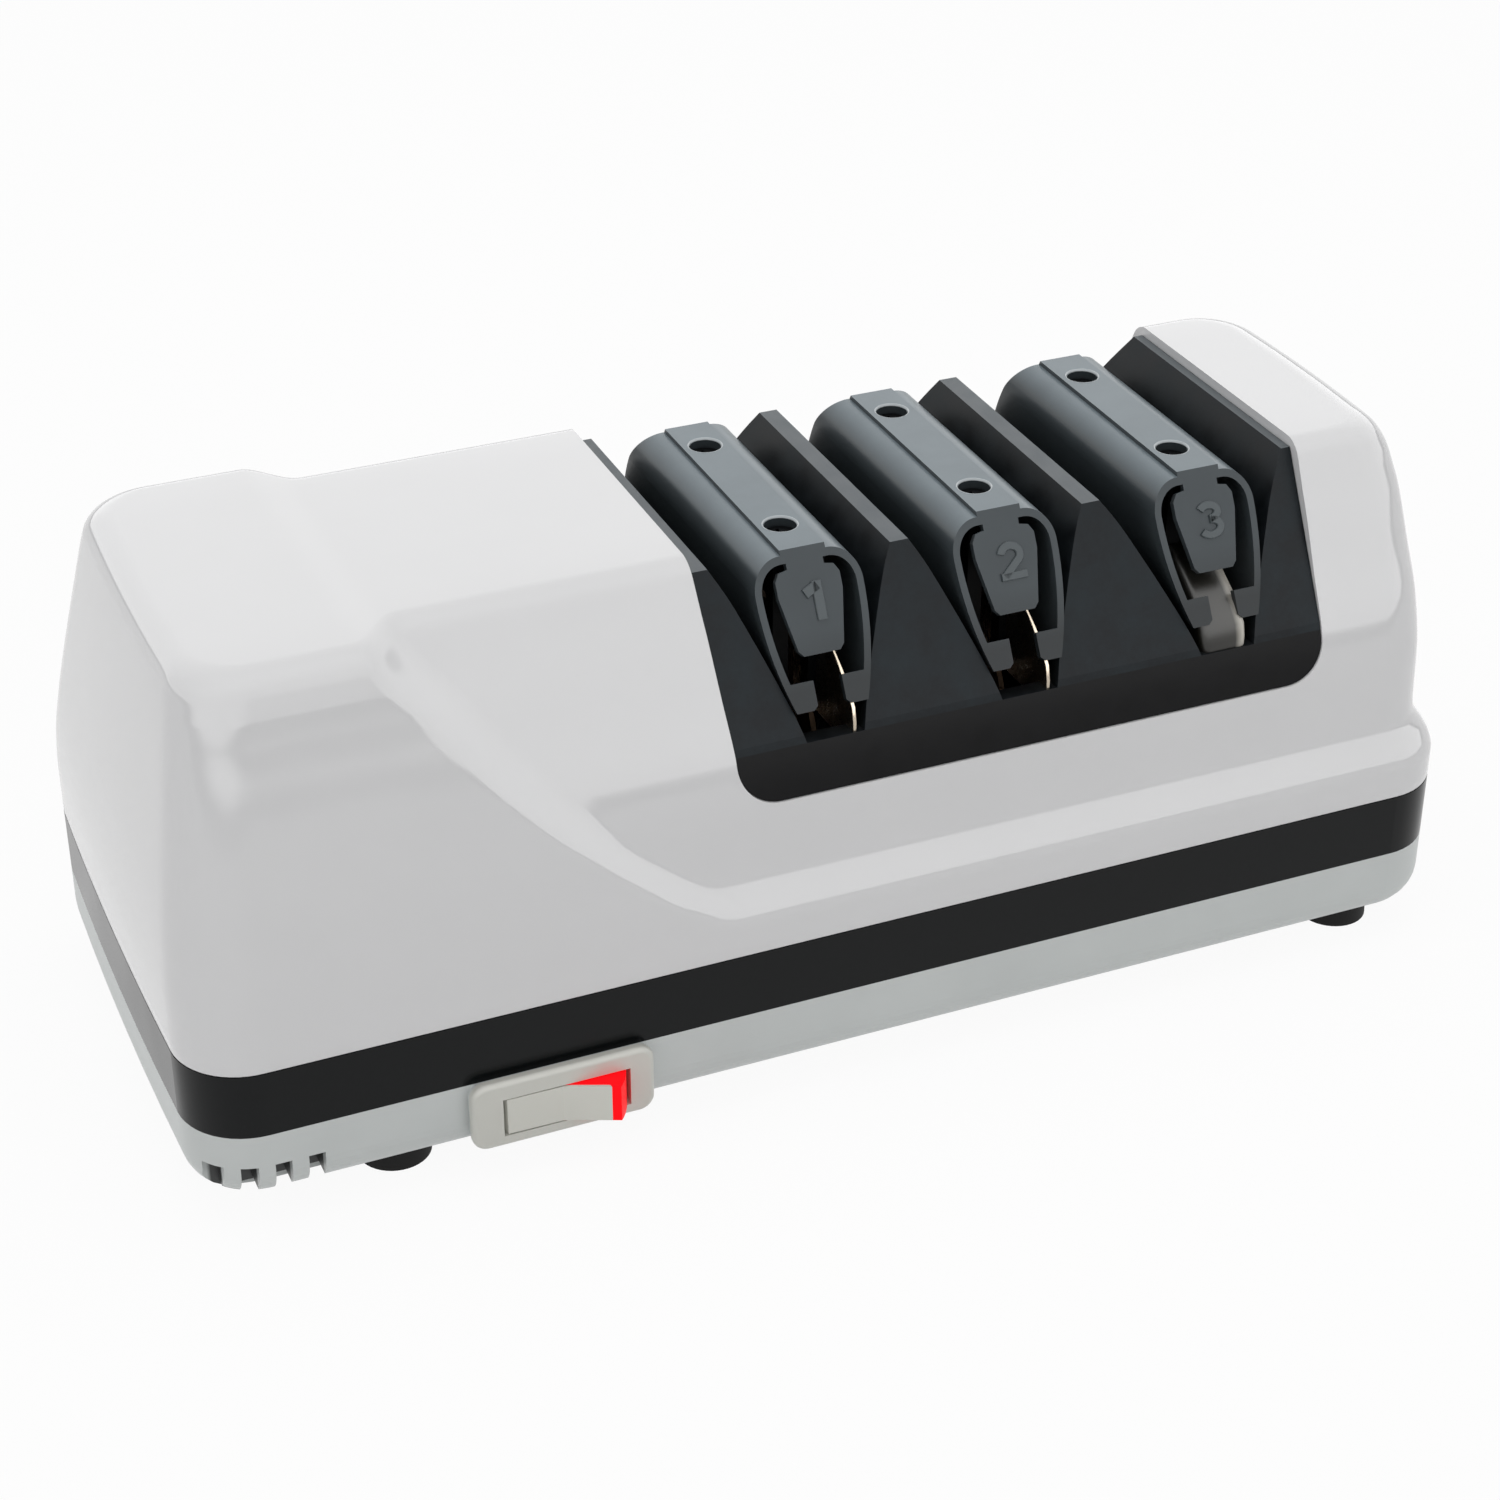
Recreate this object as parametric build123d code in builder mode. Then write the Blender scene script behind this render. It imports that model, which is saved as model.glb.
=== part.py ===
"""Three-stage electric knife sharpener, built as separate named pieces.

Frame: millimetres, +Z up, the feet stand on z = 0.  The long side lies along X
with the motor at -X and the stages towards +X.  The front, with the switch,
faces -Y.  Every piece is modelled in place and exported to parts/.
"""
import math
import os

from build123d import *

os.makedirs("parts", exist_ok=True)

# ---- whole machine -------------------------------------------------------
LENGTH = 254.0
DEPTH = 108.0
HALF_X = LENGTH / 2
HALF_Y = DEPTH / 2
MOTOR_TOP = 103.2       # top of the motor end
TOP_DROP = 0.6          # the stage end is this much lower
STAGE_TOP = MOTOR_TOP - TOP_DROP
OUTSIDE = 12.0          # cutting bodies reach this far past the machine
FOOT_H = 4.8            # rubber feet lift the base by this much
BAND_Z0 = 20.0          # dark band: lower and upper edge
BAND_Z1 = 33.0
WALL = 2.6              # housing wall
CORNER_R = 13.0
FIT = 0.15              # side clearance between pieces that nest

# ---- drive line ----------------------------------------------------------
AXIS_Y = -3.5           # shaft axis, along X
AXIS_Z = 50.0
SHAFT_R = 3.0
RUN_FIT = 0.05          # radial running clearance on the shaft
STAGES = (HALF_X - 130.8, HALF_X - 92.1, HALF_X - 50.8)     # stage centres along X
STAGE_Y = -4.0          # the guide springs are centred here

# ---- opening for the stages ---------------------------------------------
OPEN_X0_TOP = STAGES[0] - 22.6
OPEN_X0_LOW = STAGES[0] - 19.4
OPEN_X1_TOP = STAGES[2] + 20.8
OPEN_X1_LOW = STAGES[2] + 20.2
OPEN_Z0 = 61.0
OPEN_R = 8.0
CREASE_Z = OPEN_Z0 + 9.3        # floor of the knife channels; the faces lean in above it


def shell_section(z, front, back, x_left, x_right, radius, bow):
    """Rounded outline at height z with gently bowed ends."""
    middle = (back - front) / 2
    with BuildSketch(Plane.XY.offset(z)) as section:
        with BuildLine():
            Line((x_left + bow, -front), (x_right - bow, -front))
            ThreePointArc((x_right - bow, -front), (x_right, middle), (x_right - bow, back))
            Line((x_right - bow, back), (x_left + bow, back))
            ThreePointArc((x_left + bow, back), (x_left, middle), (x_left + bow, -front))
        make_face()
        fillet(section.vertices(), radius=radius)
    return section.sketch


def lofted(rows, inset=0.0, radius_drop=0.0, bow=1.2, ruled=False):
    """Solid through the outlines in rows, each (z, front, back, left, right, radius)."""
    with BuildPart() as body:
        for z, front, back, left, right, radius in rows:
            add(shell_section(z, front - inset, back - inset, left + inset, right - inset,
                              radius - radius_drop, bow))
        loft(ruled=ruled)
    return body.part


# The flank rises from FLANK_Z0 to the top; its rows divide that height in these shares.
FLANK_Z0 = 50.0
FLANK_SHARES = (0.0, 0.188, 0.376, 0.564, 0.752)
FLANK_Z = [FLANK_Z0 + share * (MOTOR_TOP - FLANK_Z0) for share in FLANK_SHARES]
SKIRT_Z = (BAND_Z1, 39.0, 41.0, 43.0, 45.0, 47.0)
# Outlines of the housing shell, one row per height.  Each row says how far the
# front, the back and the end stand inside the overall size, and the corner radius.
MOTOR_INSETS = ((0.0, 0.0, 0.0, 13.0), (0.0, 0.0, 0.0, 13.0), (0.4, 0.7, 0.3, 13.0), (1.4, 3.8, 1.2, 13.0),
                (3.4, 7.2, 2.6, 12.6), (6.0, 10.8, 4.2, 12.0), (9.0, 14.6, 5.9, 11.2))
# Stage end: skirt below, then the lower body that carries the stages and the right cheek.
STAGE_INSETS = ((0.0, 0.0, 0.0, 13.0), (0.0, 0.0, 0.0, 13.0), (0.4, 0.5, 0.4, 13.0), (1.4, 1.5, 1.3, 12.7),
                (2.5, 2.7, 2.5, 12.4), (3.4, 3.7, 3.3, 12.1), (3.7, 4.7, 3.6, 12.0), (4.3, 7.1, 3.6, 12.0),
                (6.8, 10.4, 3.6, 12.0), (11.5, 15.0, 3.8, 12.0), (16.1, 19.7, 4.4, 11.5))


def outline_rows(heights, insets):
    """Rows of (z, front, back, end, corner radius)."""
    return tuple((z, HALF_Y - front, HALF_Y - back, HALF_X - end, radius)
                 for z, (front, back, end, radius) in zip(heights, insets))


MOTOR_ROWS = outline_rows((BAND_Z1, 42.0, *FLANK_Z), MOTOR_INSETS)
STAGE_ROWS = outline_rows((*SKIRT_Z, *FLANK_Z), STAGE_INSETS)
# Top edges: reach at the top plane, rounding radius, lean of the wall in degrees.
MOTOR_EDGES = ((HALF_Y - 12.8, 5.0, 17.0), (HALF_Y - 18.9, 5.0, 20.0), (HALF_X - 8.4, 5.5, 11.0))
STAGE_EDGES = ((HALF_Y - 22.4, 5.0, 26.0), (HALF_Y - 25.6, 5.0, 25.0), (HALF_X - 6.2, 9.0, 8.0))
CROWN_DROPS = (8.4, 5.4, 3.4, 2.0, 1.0, 0.3, 0.0)
# Middle of the slanted step between the two ends, measured from the motor end, by
# height, and half its width along X.
STEP_LINE = ((BAND_Z1, 105.0), (45.0, 95.7), (FLANK_Z[0], 89.6), (FLANK_Z[1], 78.1), (FLANK_Z[2], 68.5),
             (FLANK_Z[3], 60.4), (FLANK_Z[4], 52.9), (MOTOR_TOP - 5.2, 46.5), (MOTOR_TOP + 0.8, 43.5))
STEP_HALF = 5.0
TOP_STEP = (-HALF_X + 39.0, -HALF_X + 47.0)     # the same step runs straight across the top
BOW = 1.2


def between_rows(rows, z):
    """Values at height z, straight between the rows above and below it."""
    for low, high in zip(rows, rows[1:]):
        if z <= high[0]:
            part = (z - low[0]) / (high[0] - low[0])
            return [a + part * (b - a) for a, b in zip(low[1:], high[1:])]
    return list(rows[-1][1:])


def rounded_reach(top, edge, z):
    """How far a leaning wall with a rounded top edge reaches at height z."""
    side, round_r, lean = edge
    lean = math.radians(lean)
    drop = max(0.0, top - z)
    if drop > round_r * (1 - math.sin(lean)):
        return side + drop * math.tan(lean)
    centre = round_r / math.cos(lean) - round_r * math.tan(lean)
    return side - centre + math.sqrt(round_r ** 2 - (round_r - drop) ** 2)


def end_sizes(rows, top, edges, z):
    """Front, back, end reach and corner radius of one end at height z."""
    if z <= rows[-1][0]:
        return between_rows(rows, z)
    radius = rows[-1][4]
    front, back, end = (rounded_reach(top, edge, z) for edge in edges)
    lost = max(0.0, edges[2][0] - end)
    return [front, back, end, radius - 0.5 * lost]


def housing_section(z, inset=0.0):
    """Outline of the shell, moved in by inset: motor end, slanted step, stage end."""
    front_m, back_m, left, radius_m = (
        size - inset for size in end_sizes(MOTOR_ROWS, MOTOR_TOP, MOTOR_EDGES, z))
    front_s, back_s, right, radius_s = (
        size - inset for size in end_sizes(STAGE_ROWS, STAGE_TOP, STAGE_EDGES, z))
    step = between_rows(STEP_LINE, z)[0] - HALF_X
    x0, x1 = step - STEP_HALF, step + STEP_HALF
    with BuildSketch(Plane.XY.offset(z)) as section:
        with BuildLine():
            Line((BOW - left, -front_m), (x0, -front_m))
            Spline((x0, -front_m), (x1, -front_s), tangents=((1, 0), (1, 0)))
            Line((x1, -front_s), (right - BOW, -front_s))
            ThreePointArc((right - BOW, -front_s), (right, (back_s - front_s) / 2), (right - BOW, back_s))
            Line((right - BOW, back_s), (x1, back_s))
            Spline((x1, back_s), (x0, back_m), tangents=((-1, 0), (-1, 0)))
            Line((x0, back_m), (BOW - left, back_m))
            ThreePointArc((BOW - left, back_m), (-left, (back_m - front_m) / 2), (BOW - left, -front_m))
        make_face()
        fillet(section.vertices().filter_by_position(Axis.X, -HALF_X - 1, -HALF_X + 25), radius=radius_m)
        fillet(section.vertices().filter_by_position(Axis.X, HALF_X - 25, HALF_X + 1), radius=radius_s)
    return section.sketch


def shell_between(heights, ruled, inset=0.0):
    """Solid through the housing outlines at the given heights."""
    with BuildPart() as piece:
        for z in heights:
            add(housing_section(z, inset))
        loft(ruled=ruled)
    return piece.part


crown_heights = [MOTOR_TOP - drop for drop in CROWN_DROPS]
outer_body = shell_between((*SKIRT_Z, FLANK_Z0), ruled=True)
outer_body = outer_body + shell_between((*FLANK_Z, crown_heights[0]), ruled=False)
outer_body = outer_body + shell_between(crown_heights, ruled=True)
SIDE_Y = HALF_Y + OUTSIDE       # side cuts start this far behind the middle
SKY_Z = MOTOR_TOP + OUTSIDE
with BuildSketch(Plane.XZ.offset(-SIDE_Y)) as lowered_top:
    with BuildLine():
        start = (TOP_STEP[0], MOTOR_TOP + 0.05)
        end = (TOP_STEP[1], STAGE_TOP)
        Spline(start, end, tangents=((1, 0), (1, 0)))
        Polyline(end, (HALF_X + OUTSIDE, STAGE_TOP), (HALF_X + OUTSIDE, SKY_Z), (TOP_STEP[0], SKY_Z), start)
    make_face()
outer_body = outer_body - extrude(lowered_top.sketch, amount=2 * SIDE_Y)


def half_space(origin, normal):
    """Big block filling the side the normal points away from."""
    return Plane(origin=origin, z_dir=normal).location * Box(
        600, 600, 600, align=(Align.CENTER, Align.CENTER, Align.MAX), mode=Mode.PRIVATE)


# ---- upper housing -------------------------------------------------------
# The cavity follows the outside one wall further in; screw posts stay.
CAVITY_TOP = STAGE_TOP - WALL
POST_R = 4.2
SCREW_R = 1.55
SCREW_POSTS = ((-HALF_X + 15.0, -HALF_Y + 13.0), (-HALF_X + 15.0, HALF_Y - 16.0),
               (HALF_X - 16.0, -25.0), (HALF_X - 16.0, 20.0))
SCREW_SEAT_Z = 14.0             # the heads of the case screws pull against this height
SCREW_LENGTH = 32.0
LEVER_X = STAGES[2]
LEVER_SLOT = (22.0, 13.0)       # width and height of the recess for the dressing lever
LEVER_Z = 42.0


def between(x0, x1, y0, y1, z0, z1):
    """Block given by its six faces."""
    block = Box(x1 - x0, y1 - y0, z1 - z0, mode=Mode.PRIVATE)
    return Pos((x0 + x1) / 2, (y0 + y1) / 2, (z0 + z1) / 2) * block


def rod(x0, x1, radius, y=AXIS_Y, z=AXIS_Z):
    """Cylinder along X."""
    return Pos((x0 + x1) / 2, y, z) * Rot(0, 90, 0) * Cylinder(radius, x1 - x0, mode=Mode.PRIVATE)


def peg(x, y, z0, z1, radius):
    """Cylinder along Z."""
    return Pos(x, y, (z0 + z1) / 2) * Cylinder(radius, z1 - z0, mode=Mode.PRIVATE)


cavity = shell_between((BAND_Z1, 40.0, *FLANK_Z, CAVITY_TOP), ruled=True, inset=WALL)
posts = peg(*SCREW_POSTS[0], BAND_Z0, SKY_Z, POST_R)
for x, y in SCREW_POSTS[1:]:
    posts = posts + peg(x, y, BAND_Z0, SKY_Z, POST_R)


def opening_prism(gap):
    """Opening for the stages, right through front to back, moved in by gap."""
    with BuildSketch(Plane.XZ.offset(-SIDE_Y)) as outline:
        with BuildLine():
            Polyline((OPEN_X0_TOP + gap, SKY_Z), (OPEN_X0_LOW + gap, CREASE_Z),
                     (OPEN_X0_LOW + gap, OPEN_Z0 + gap), (OPEN_X1_LOW - gap, OPEN_Z0 + gap),
                     (OPEN_X1_LOW - gap, CREASE_Z), (OPEN_X1_TOP - gap, SKY_Z), close=True)
        make_face()
        low = outline.vertices().filter_by_position(Axis.Y, OPEN_Z0 - 1, OPEN_Z0 + 1)
        fillet(low, radius=OPEN_R - gap)
    return extrude(outline.sketch, amount=2 * SIDE_Y)


opening = opening_prism(0.0)

with BuildPart() as upper_housing:
    add(outer_body)
    add(cavity - posts, mode=Mode.SUBTRACT)
    add(opening, mode=Mode.SUBTRACT)
    for x, y in SCREW_POSTS:
        add(peg(x, y, SCREW_SEAT_Z, SCREW_SEAT_Z + SCREW_LENGTH + 2.0, SCREW_R + 0.05), mode=Mode.SUBTRACT)
    add(between(LEVER_X - LEVER_SLOT[0] / 2, LEVER_X + LEVER_SLOT[0] / 2, HALF_Y - 16.0, SIDE_Y,
                LEVER_Z - LEVER_SLOT[1] / 2, LEVER_Z + LEVER_SLOT[1] / 2), mode=Mode.SUBTRACT)
upper_housing.part.label = "upper_housing"
export_step(upper_housing.part, "parts/upper_housing.step")

# ---- stage insert: end walls, two dividers, front and rear strips --------
# Each knife channel rises from the crease to the fin tops and flares: share of that
# height and half width.  SPREAD stretches the flare of a stage to the left and right.
CHANNEL = ((0.0, 5.6), (0.186, 7.2), (0.346, 8.9), (0.525, 10.9), (0.704, 13.0), (0.864, 15.0),
           (1.0, 17.1), (1.204, 20.4))
FIN_TOP = STAGE_TOP - 4.3
END_WALL_TOP = STAGE_TOP - 3.0
SPREAD = ((1.0, 1.0), (1.08, 1.0), (1.3, 1.0))
FACE_INSET = 0.3
DISC_R = 28.0


def channel(index):
    """Prism of the knife channel of one stage, right through front to back."""
    x = STAGES[index]
    left, right = SPREAD[index]
    first = CHANNEL[0][1]
    rise = FIN_TOP - CREASE_Z
    with BuildSketch(Plane.XZ.offset(-SIDE_Y)) as face:
        with BuildLine():
            rights = [(x + first + (w - first) * right, CREASE_Z + share * rise) for share, w in CHANNEL]
            lefts = [(x - first - (w - first) * left, CREASE_Z + share * rise) for share, w in CHANNEL]
            Spline(*rights)
            Line(rights[-1], lefts[-1])
            Spline(*reversed(lefts))
            Line(lefts[0], rights[0])
        make_face()
    return extrude(face.sketch, amount=2 * SIDE_Y)


insert_rows = tuple((z, front, back, 9.0 - HALF_X, end, radius)
                    for z, front, back, end, radius in outline_rows(FLANK_Z, STAGE_INSETS[-len(FLANK_Z):]))
top_row = (STAGE_TOP, STAGE_EDGES[0][0], STAGE_EDGES[1][0], 9.0 - HALF_X, STAGE_EDGES[2][0], 11.0)
insert_shape = lofted(insert_rows, inset=FACE_INSET) + lofted((insert_rows[-1], top_row), inset=FACE_INSET)
FACE_LEAN = (0.874, 0.486)      # the front and rear faces of the insert lean in above the crease
front_face = half_space((0, -HALF_Y + 7.0, CREASE_Z), (0, -FACE_LEAN[0], FACE_LEAN[1]))
back_face = half_space((0, HALF_Y - 10.8, CREASE_Z), (0, FACE_LEAN[0], FACE_LEAN[1]))
insert_prism = opening_prism(FIT)

SPRING_T = 1.3
SPRING_TOP = STAGE_TOP - 2.7
BEAM_TOP = SPRING_TOP - SPRING_T
BEAM_HALF = 3.6
BRIDGE_Y = 26.0
HOLE_Y = 17.6
BOSS_R = 4.2               # thick spot under each guide screw, let into the bridge
BOSS_Z = BEAM_TOP - 1.6
HEAD_R = 2.8
HEAD_T = 0.9
COUNTERBORE_Z = BEAM_TOP - 0.6     # the heads lie deep in the strip
PILOT_R = 1.45             # holes the guide screws cut their thread in
BRIDGE_T = 9.6
POST_Z0 = CREASE_Z - 2.7   # the bridge posts stand in the floor of the channel
RING_Z0 = 55.5             # flange that catches under the edge of the opening
RING_REACH = 3.6
NECK_GAP = 1.4             # the neck of the flange passes the opening with this gap
RING_Y = (-HALF_Y + 8.4, HALF_Y - 12.2)
CHAMBER = (STAGES[0] - 17.2, STAGES[2] + 17.4, -HALF_Y + 10.6, HALF_Y - 15.0)   # room for the discs
CHAMBER_Z = (50.0, 66.0)
SLIT_HALF = 5.6            # the chamber opens into each channel by this half width

stage_bodies = (insert_shape & insert_prism & front_face & back_face)
ring = between(OPEN_X0_LOW - RING_REACH, OPEN_X1_LOW + RING_REACH, *RING_Y, RING_Z0, OPEN_Z0 - FIT)
neck = between(OPEN_X0_LOW + NECK_GAP, OPEN_X1_LOW - NECK_GAP, *RING_Y, OPEN_Z0 - 3.0, OPEN_Z0 + 2.0)
stage_bodies = stage_bodies + ring + neck
for index in range(3):
    stage_bodies = stage_bodies - channel(index)
stage_bodies = stage_bodies - between(*CHAMBER, *CHAMBER_Z)
for x in STAGES:
    stage_bodies = stage_bodies - between(x - SLIT_HALF, x + SLIT_HALF, CHAMBER[2], CHAMBER[3],
                                          CHAMBER_Z[0], CREASE_Z + 1.7)
    stage_bodies = stage_bodies - rod(x - 11.5, x + 11.5, DISC_R + 1.5)
for a, b in ((0, 1), (1, 2)):
    stage_bodies = stage_bodies - between(STAGES[a] + SLIT_HALF, STAGES[b] - SLIT_HALF, -SIDE_Y, SIDE_Y,
                                          FIN_TOP, SKY_Z)
stage_bodies = stage_bodies - between(-HALF_X, STAGES[0], -SIDE_Y, SIDE_Y, END_WALL_TOP, SKY_Z)
stage_bodies = stage_bodies - between(STAGES[2], HALF_X, -SIDE_Y, SIDE_Y, END_WALL_TOP + 1.2, SKY_Z)
for x in STAGES:
    bridge = between(x - BEAM_HALF, x + BEAM_HALF, STAGE_Y - BRIDGE_Y, STAGE_Y + BRIDGE_Y,
                     BEAM_TOP - BRIDGE_T, BEAM_TOP)
    for side in (-1, 1):
        y0, y1 = sorted((STAGE_Y + side * BRIDGE_Y, STAGE_Y + side * (BRIDGE_Y - 3.2)))
        for hand in (-1, 1):
            x0, x1 = sorted((x + hand * 2.0, x + hand * 5.0))
            bridge = bridge + between(x0, x1, y0, y1, POST_Z0, BEAM_TOP)
            x0, x1 = sorted((x + hand * 4.0, x + hand * 8.0))
            bridge = bridge + between(x0, x1, y0, y1, POST_Z0, CREASE_Z + 1.5)
    stage_bodies = stage_bodies + bridge
    for side in (-1, 1):
        y = STAGE_Y + side * HOLE_Y
        stage_bodies = stage_bodies - peg(x, y, BEAM_TOP - BRIDGE_T, BEAM_TOP + 1, PILOT_R)
        stage_bodies = stage_bodies - between(x - BEAM_HALF - 1, x + BEAM_HALF + 1, y - BOSS_R - FIT,
                                              y + BOSS_R + FIT, BOSS_Z, BEAM_TOP + 1)
with BuildPart() as stage_insert:
    add(stage_bodies)
stage_insert.part.label = "stage_insert"
export_step(stage_insert.part, "parts/stage_insert.step")

# ---- guide springs: one arched moulding per stage ------------------------
SHOULDER_R = 5.8             # radius of the outer shoulder arc
SHOULDER = (4.6, SPRING_TOP - SHOULDER_R, SHOULDER_R)   # from the stage centre, height, radius
LEG_FOOT = CREASE_Z + 5.4
LEG_INWARD = 3.5             # the legs bend inward by this much below the shoulders
LEG_R = ((SHOULDER[1] - LEG_FOOT) ** 2 + LEG_INWARD ** 2) / (2 * LEG_INWARD)
STRIP_HALF = 4.34
STRIP_PROUD = 0.85           # the strip stands this much above the arch
STRIP_TOP = SPRING_TOP + STRIP_PROUD
STRIP_END = 27.03          # from the stage centre to each end of the strip
LEAN = (0.867, 0.498)      # front and rear rims lean outward going down
COUNTERBORE_R = 3.2
# Outlines on the leaning rims: half width, and height below the strip or above the feet.
TONGUE = ((3.55, 0.75), (3.55, 3.15), (5.3, 3.45), (6.2, 4.75), (6.2, 7.35), (4.4, 15.75), (3.5, 16.65))
CLIP = ((8.0, 4.6), (2.75, 4.6), (2.75, 0.7), (3.6, 0.0), (6.6, 0.0))


def rim_plane(x, side):
    """Plane of the leaning rim, side -1 at the front and +1 at the rear."""
    return Plane(origin=(x, STAGE_Y + side * STRIP_END, STRIP_TOP), x_dir=(-side, 0, 0),
                 z_dir=(0, side * LEAN[0], LEAN[1]))


def leg_at(z, inward=0.0):
    """Distance of the leg from the stage centre at height z."""
    centre = SHOULDER[0] + SHOULDER[2] - LEG_R
    return centre + math.sqrt((LEG_R - inward) ** 2 - (SHOULDER[1] - z) ** 2)


def arch_curve(x, side, inward):
    """One side of the arch, from the crown down to the foot, moved in by `inward`."""
    across, centre_z, radius = SHOULDER
    radius -= inward
    crown = (x + side * across, centre_z + radius)
    bend = (x + side * (across + radius * math.sin(math.pi / 4)), centre_z + radius * math.cos(math.pi / 4))
    hip = (x + side * (across + radius), centre_z)
    middle_z = (centre_z + LEG_FOOT) / 2
    foot = (x + side * leg_at(LEG_FOOT, inward), LEG_FOOT)
    ThreePointArc(crown, bend, hip)
    ThreePointArc(hip, (x + side * leg_at(middle_z, inward), middle_z), foot)
    return crown, foot


def guide_spring(x):
    """Arch, top strip, front tongue and the four clips of one guide spring."""
    with BuildSketch(Plane.XZ.offset(-SIDE_Y)) as arch:
        with BuildLine():
            crowns = {}
            for side in (-1, 1):
                crowns[side, 0], foot = arch_curve(x, side, 0.0)
                crowns[side, 1], inner_foot = arch_curve(x, side, SPRING_T)
                Line(foot, inner_foot)
            Line(crowns[-1, 0], crowns[1, 0])
            Line(crowns[-1, 1], crowns[1, 1])
        make_face()
    body = extrude(arch.sketch, amount=2 * SIDE_Y)
    body = body + between(x - STRIP_HALF, x + STRIP_HALF, -SIDE_Y, SIDE_Y, BEAM_TOP, STRIP_TOP)
    for side in (-1, 1):
        rim = rim_plane(x, side)
        body = body & half_space(rim.origin, rim.z_dir)
    for side in (-1, 1):
        rim = rim_plane(x, side)
        outlines = [[(u * m, (LEG_FOOT + rise - STRIP_TOP) / LEAN[0]) for u, rise in CLIP] for m in (-1, 1)]
        if side == -1:
            half = [(u, -drop / LEAN[0]) for u, drop in TONGUE]
            outlines.append(half + [(-u, v) for u, v in reversed(half)])
        for points in outlines:
            with BuildSketch(rim) as plate:
                with BuildLine():
                    Polyline(*points, close=True)
                make_face()
            body = body + extrude(plate.sketch, amount=-SPRING_T)
    for side in (-1, 1):
        y = STAGE_Y + side * HOLE_Y
        body = body + peg(x, y, BOSS_Z, BEAM_TOP + 0.5, BOSS_R)
        body = body - peg(x, y, COUNTERBORE_Z, STRIP_TOP + 1, COUNTERBORE_R)
        body = body - peg(x, y, BOSS_Z - 1, STRIP_TOP + 1, 1.6)
    return body


for number, x in enumerate(STAGES, 1):
    arched = guide_spring(x)
    with BuildPart() as spring:
        add(arched)
    spring.part.label = f"guide_spring_{number}"
    export_step(spring.part, f"parts/guide_spring_{number}.step")

with BuildPart() as guide_screws:
    for x in STAGES:
        for side in (-1, 1):
            y = STAGE_Y + side * HOLE_Y
            add(peg(x, y, COUNTERBORE_Z, COUNTERBORE_Z + HEAD_T, HEAD_R))
            add(peg(x, y, BEAM_TOP - BRIDGE_T + 1.0, COUNTERBORE_Z, PILOT_R))
            add(between(x - 1.6, x + 1.6, y - 0.3, y + 0.3, COUNTERBORE_Z + 0.4, SKY_Z), mode=Mode.SUBTRACT)
            add(between(x - 0.3, x + 0.3, y - 1.6, y + 1.6, COUNTERBORE_Z + 0.4, SKY_Z), mode=Mode.SUBTRACT)
guide_screws.part.label = "guide_screws"
export_step(guide_screws.part, "parts/guide_screws.step")

# ---- base tray and trim band ---------------------------------------------
BASE_T = 2.4
EDGE_R = 7.5                    # rounding along the bottom edge
BAND_T = 1.6
BAND_SEAT = BAND_T + 0.1        # inner wall of the tray stands this far in
FLOOR_Z = FOOT_H + BASE_T
FEET = [(x, side * (HALF_Y - 13.0)) for x in (-HALF_X + 39.0, HALF_X - 17.0) for side in (-1, 1)]
FOOT_R = 6.8
COVER = (STAGES[0] + 10.8, STAGES[2] - 3.2, -23.0, 18.0)        # clean-out cover, outer edge
COVER_LIP = 3.0
COVER_T = 1.5
VENTS = [along - HALF_X for along in (4.2, 9.8, 15.7, 21.7)]
VENT_W = 3.0
VENT_TOP = 13.4
LOBE_R = 1.45                   # the teeth between the vents end round
LOBE_END = 5.8
PIVOT = (-HALF_X + 67.0, -HALF_Y + 1.0)     # axis of the rocker
SWITCH = (PIVOT[0] - 17.8, PIVOT[0] + 16.8, 6.8, 20.8)      # bezel edges: x and z
SWITCH_Y = -HALF_Y - 3.0                # bezel face
BOSS_Y = -HALF_Y - 1.2                  # face of the boss the bezel sits on
BEZEL_R = 3.0                           # corners of bezel and boss
BOSS_IN = 0.3                           # the boss is this much smaller all round
BOSS_DEPTH = 7.2
BODY = (PIVOT[0] - 14.5, PIVOT[0] + 14.5, -HALF_Y + 13.0, 8.2, 18.4)    # behind the bezel: x, rear y, z
INLET = (-HALF_X + 32.0, 13.8, 4.6)     # cord inlet at the rear: x, z, hole radius
INLET_FLANGE = 5.8
CORD_BORE = 3.2
COLLAR_R = 4.8                          # sleeve that guides the cord outside the wall
COLLAR_LENGTH = 5.6
STATOR = (-HALF_X + 38.0, -HALF_X + 64.0)
STATOR_HALF = 30.0
STATOR_Z0 = AXIS_Z - 36.0
END_BEARING = (HALF_X - 25.5, HALF_X - 19.5)
LEVER_PIN = (LEVER_X, 36.0, 2.0)
LEVER_T = (38.0, 46.0)                  # the lever's hub, from and to this height


def plain_section(inset, z0, z1):
    """Upright wall outline of the foot of the machine, moved in by inset."""
    outline = shell_section(z0, HALF_Y - inset, HALF_Y - inset, -HALF_X + inset, HALF_X - inset,
                            CORNER_R - inset, 1.2)
    return extrude(outline, amount=z1 - z0, dir=(0, 0, 1), mode=Mode.PRIVATE)


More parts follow.
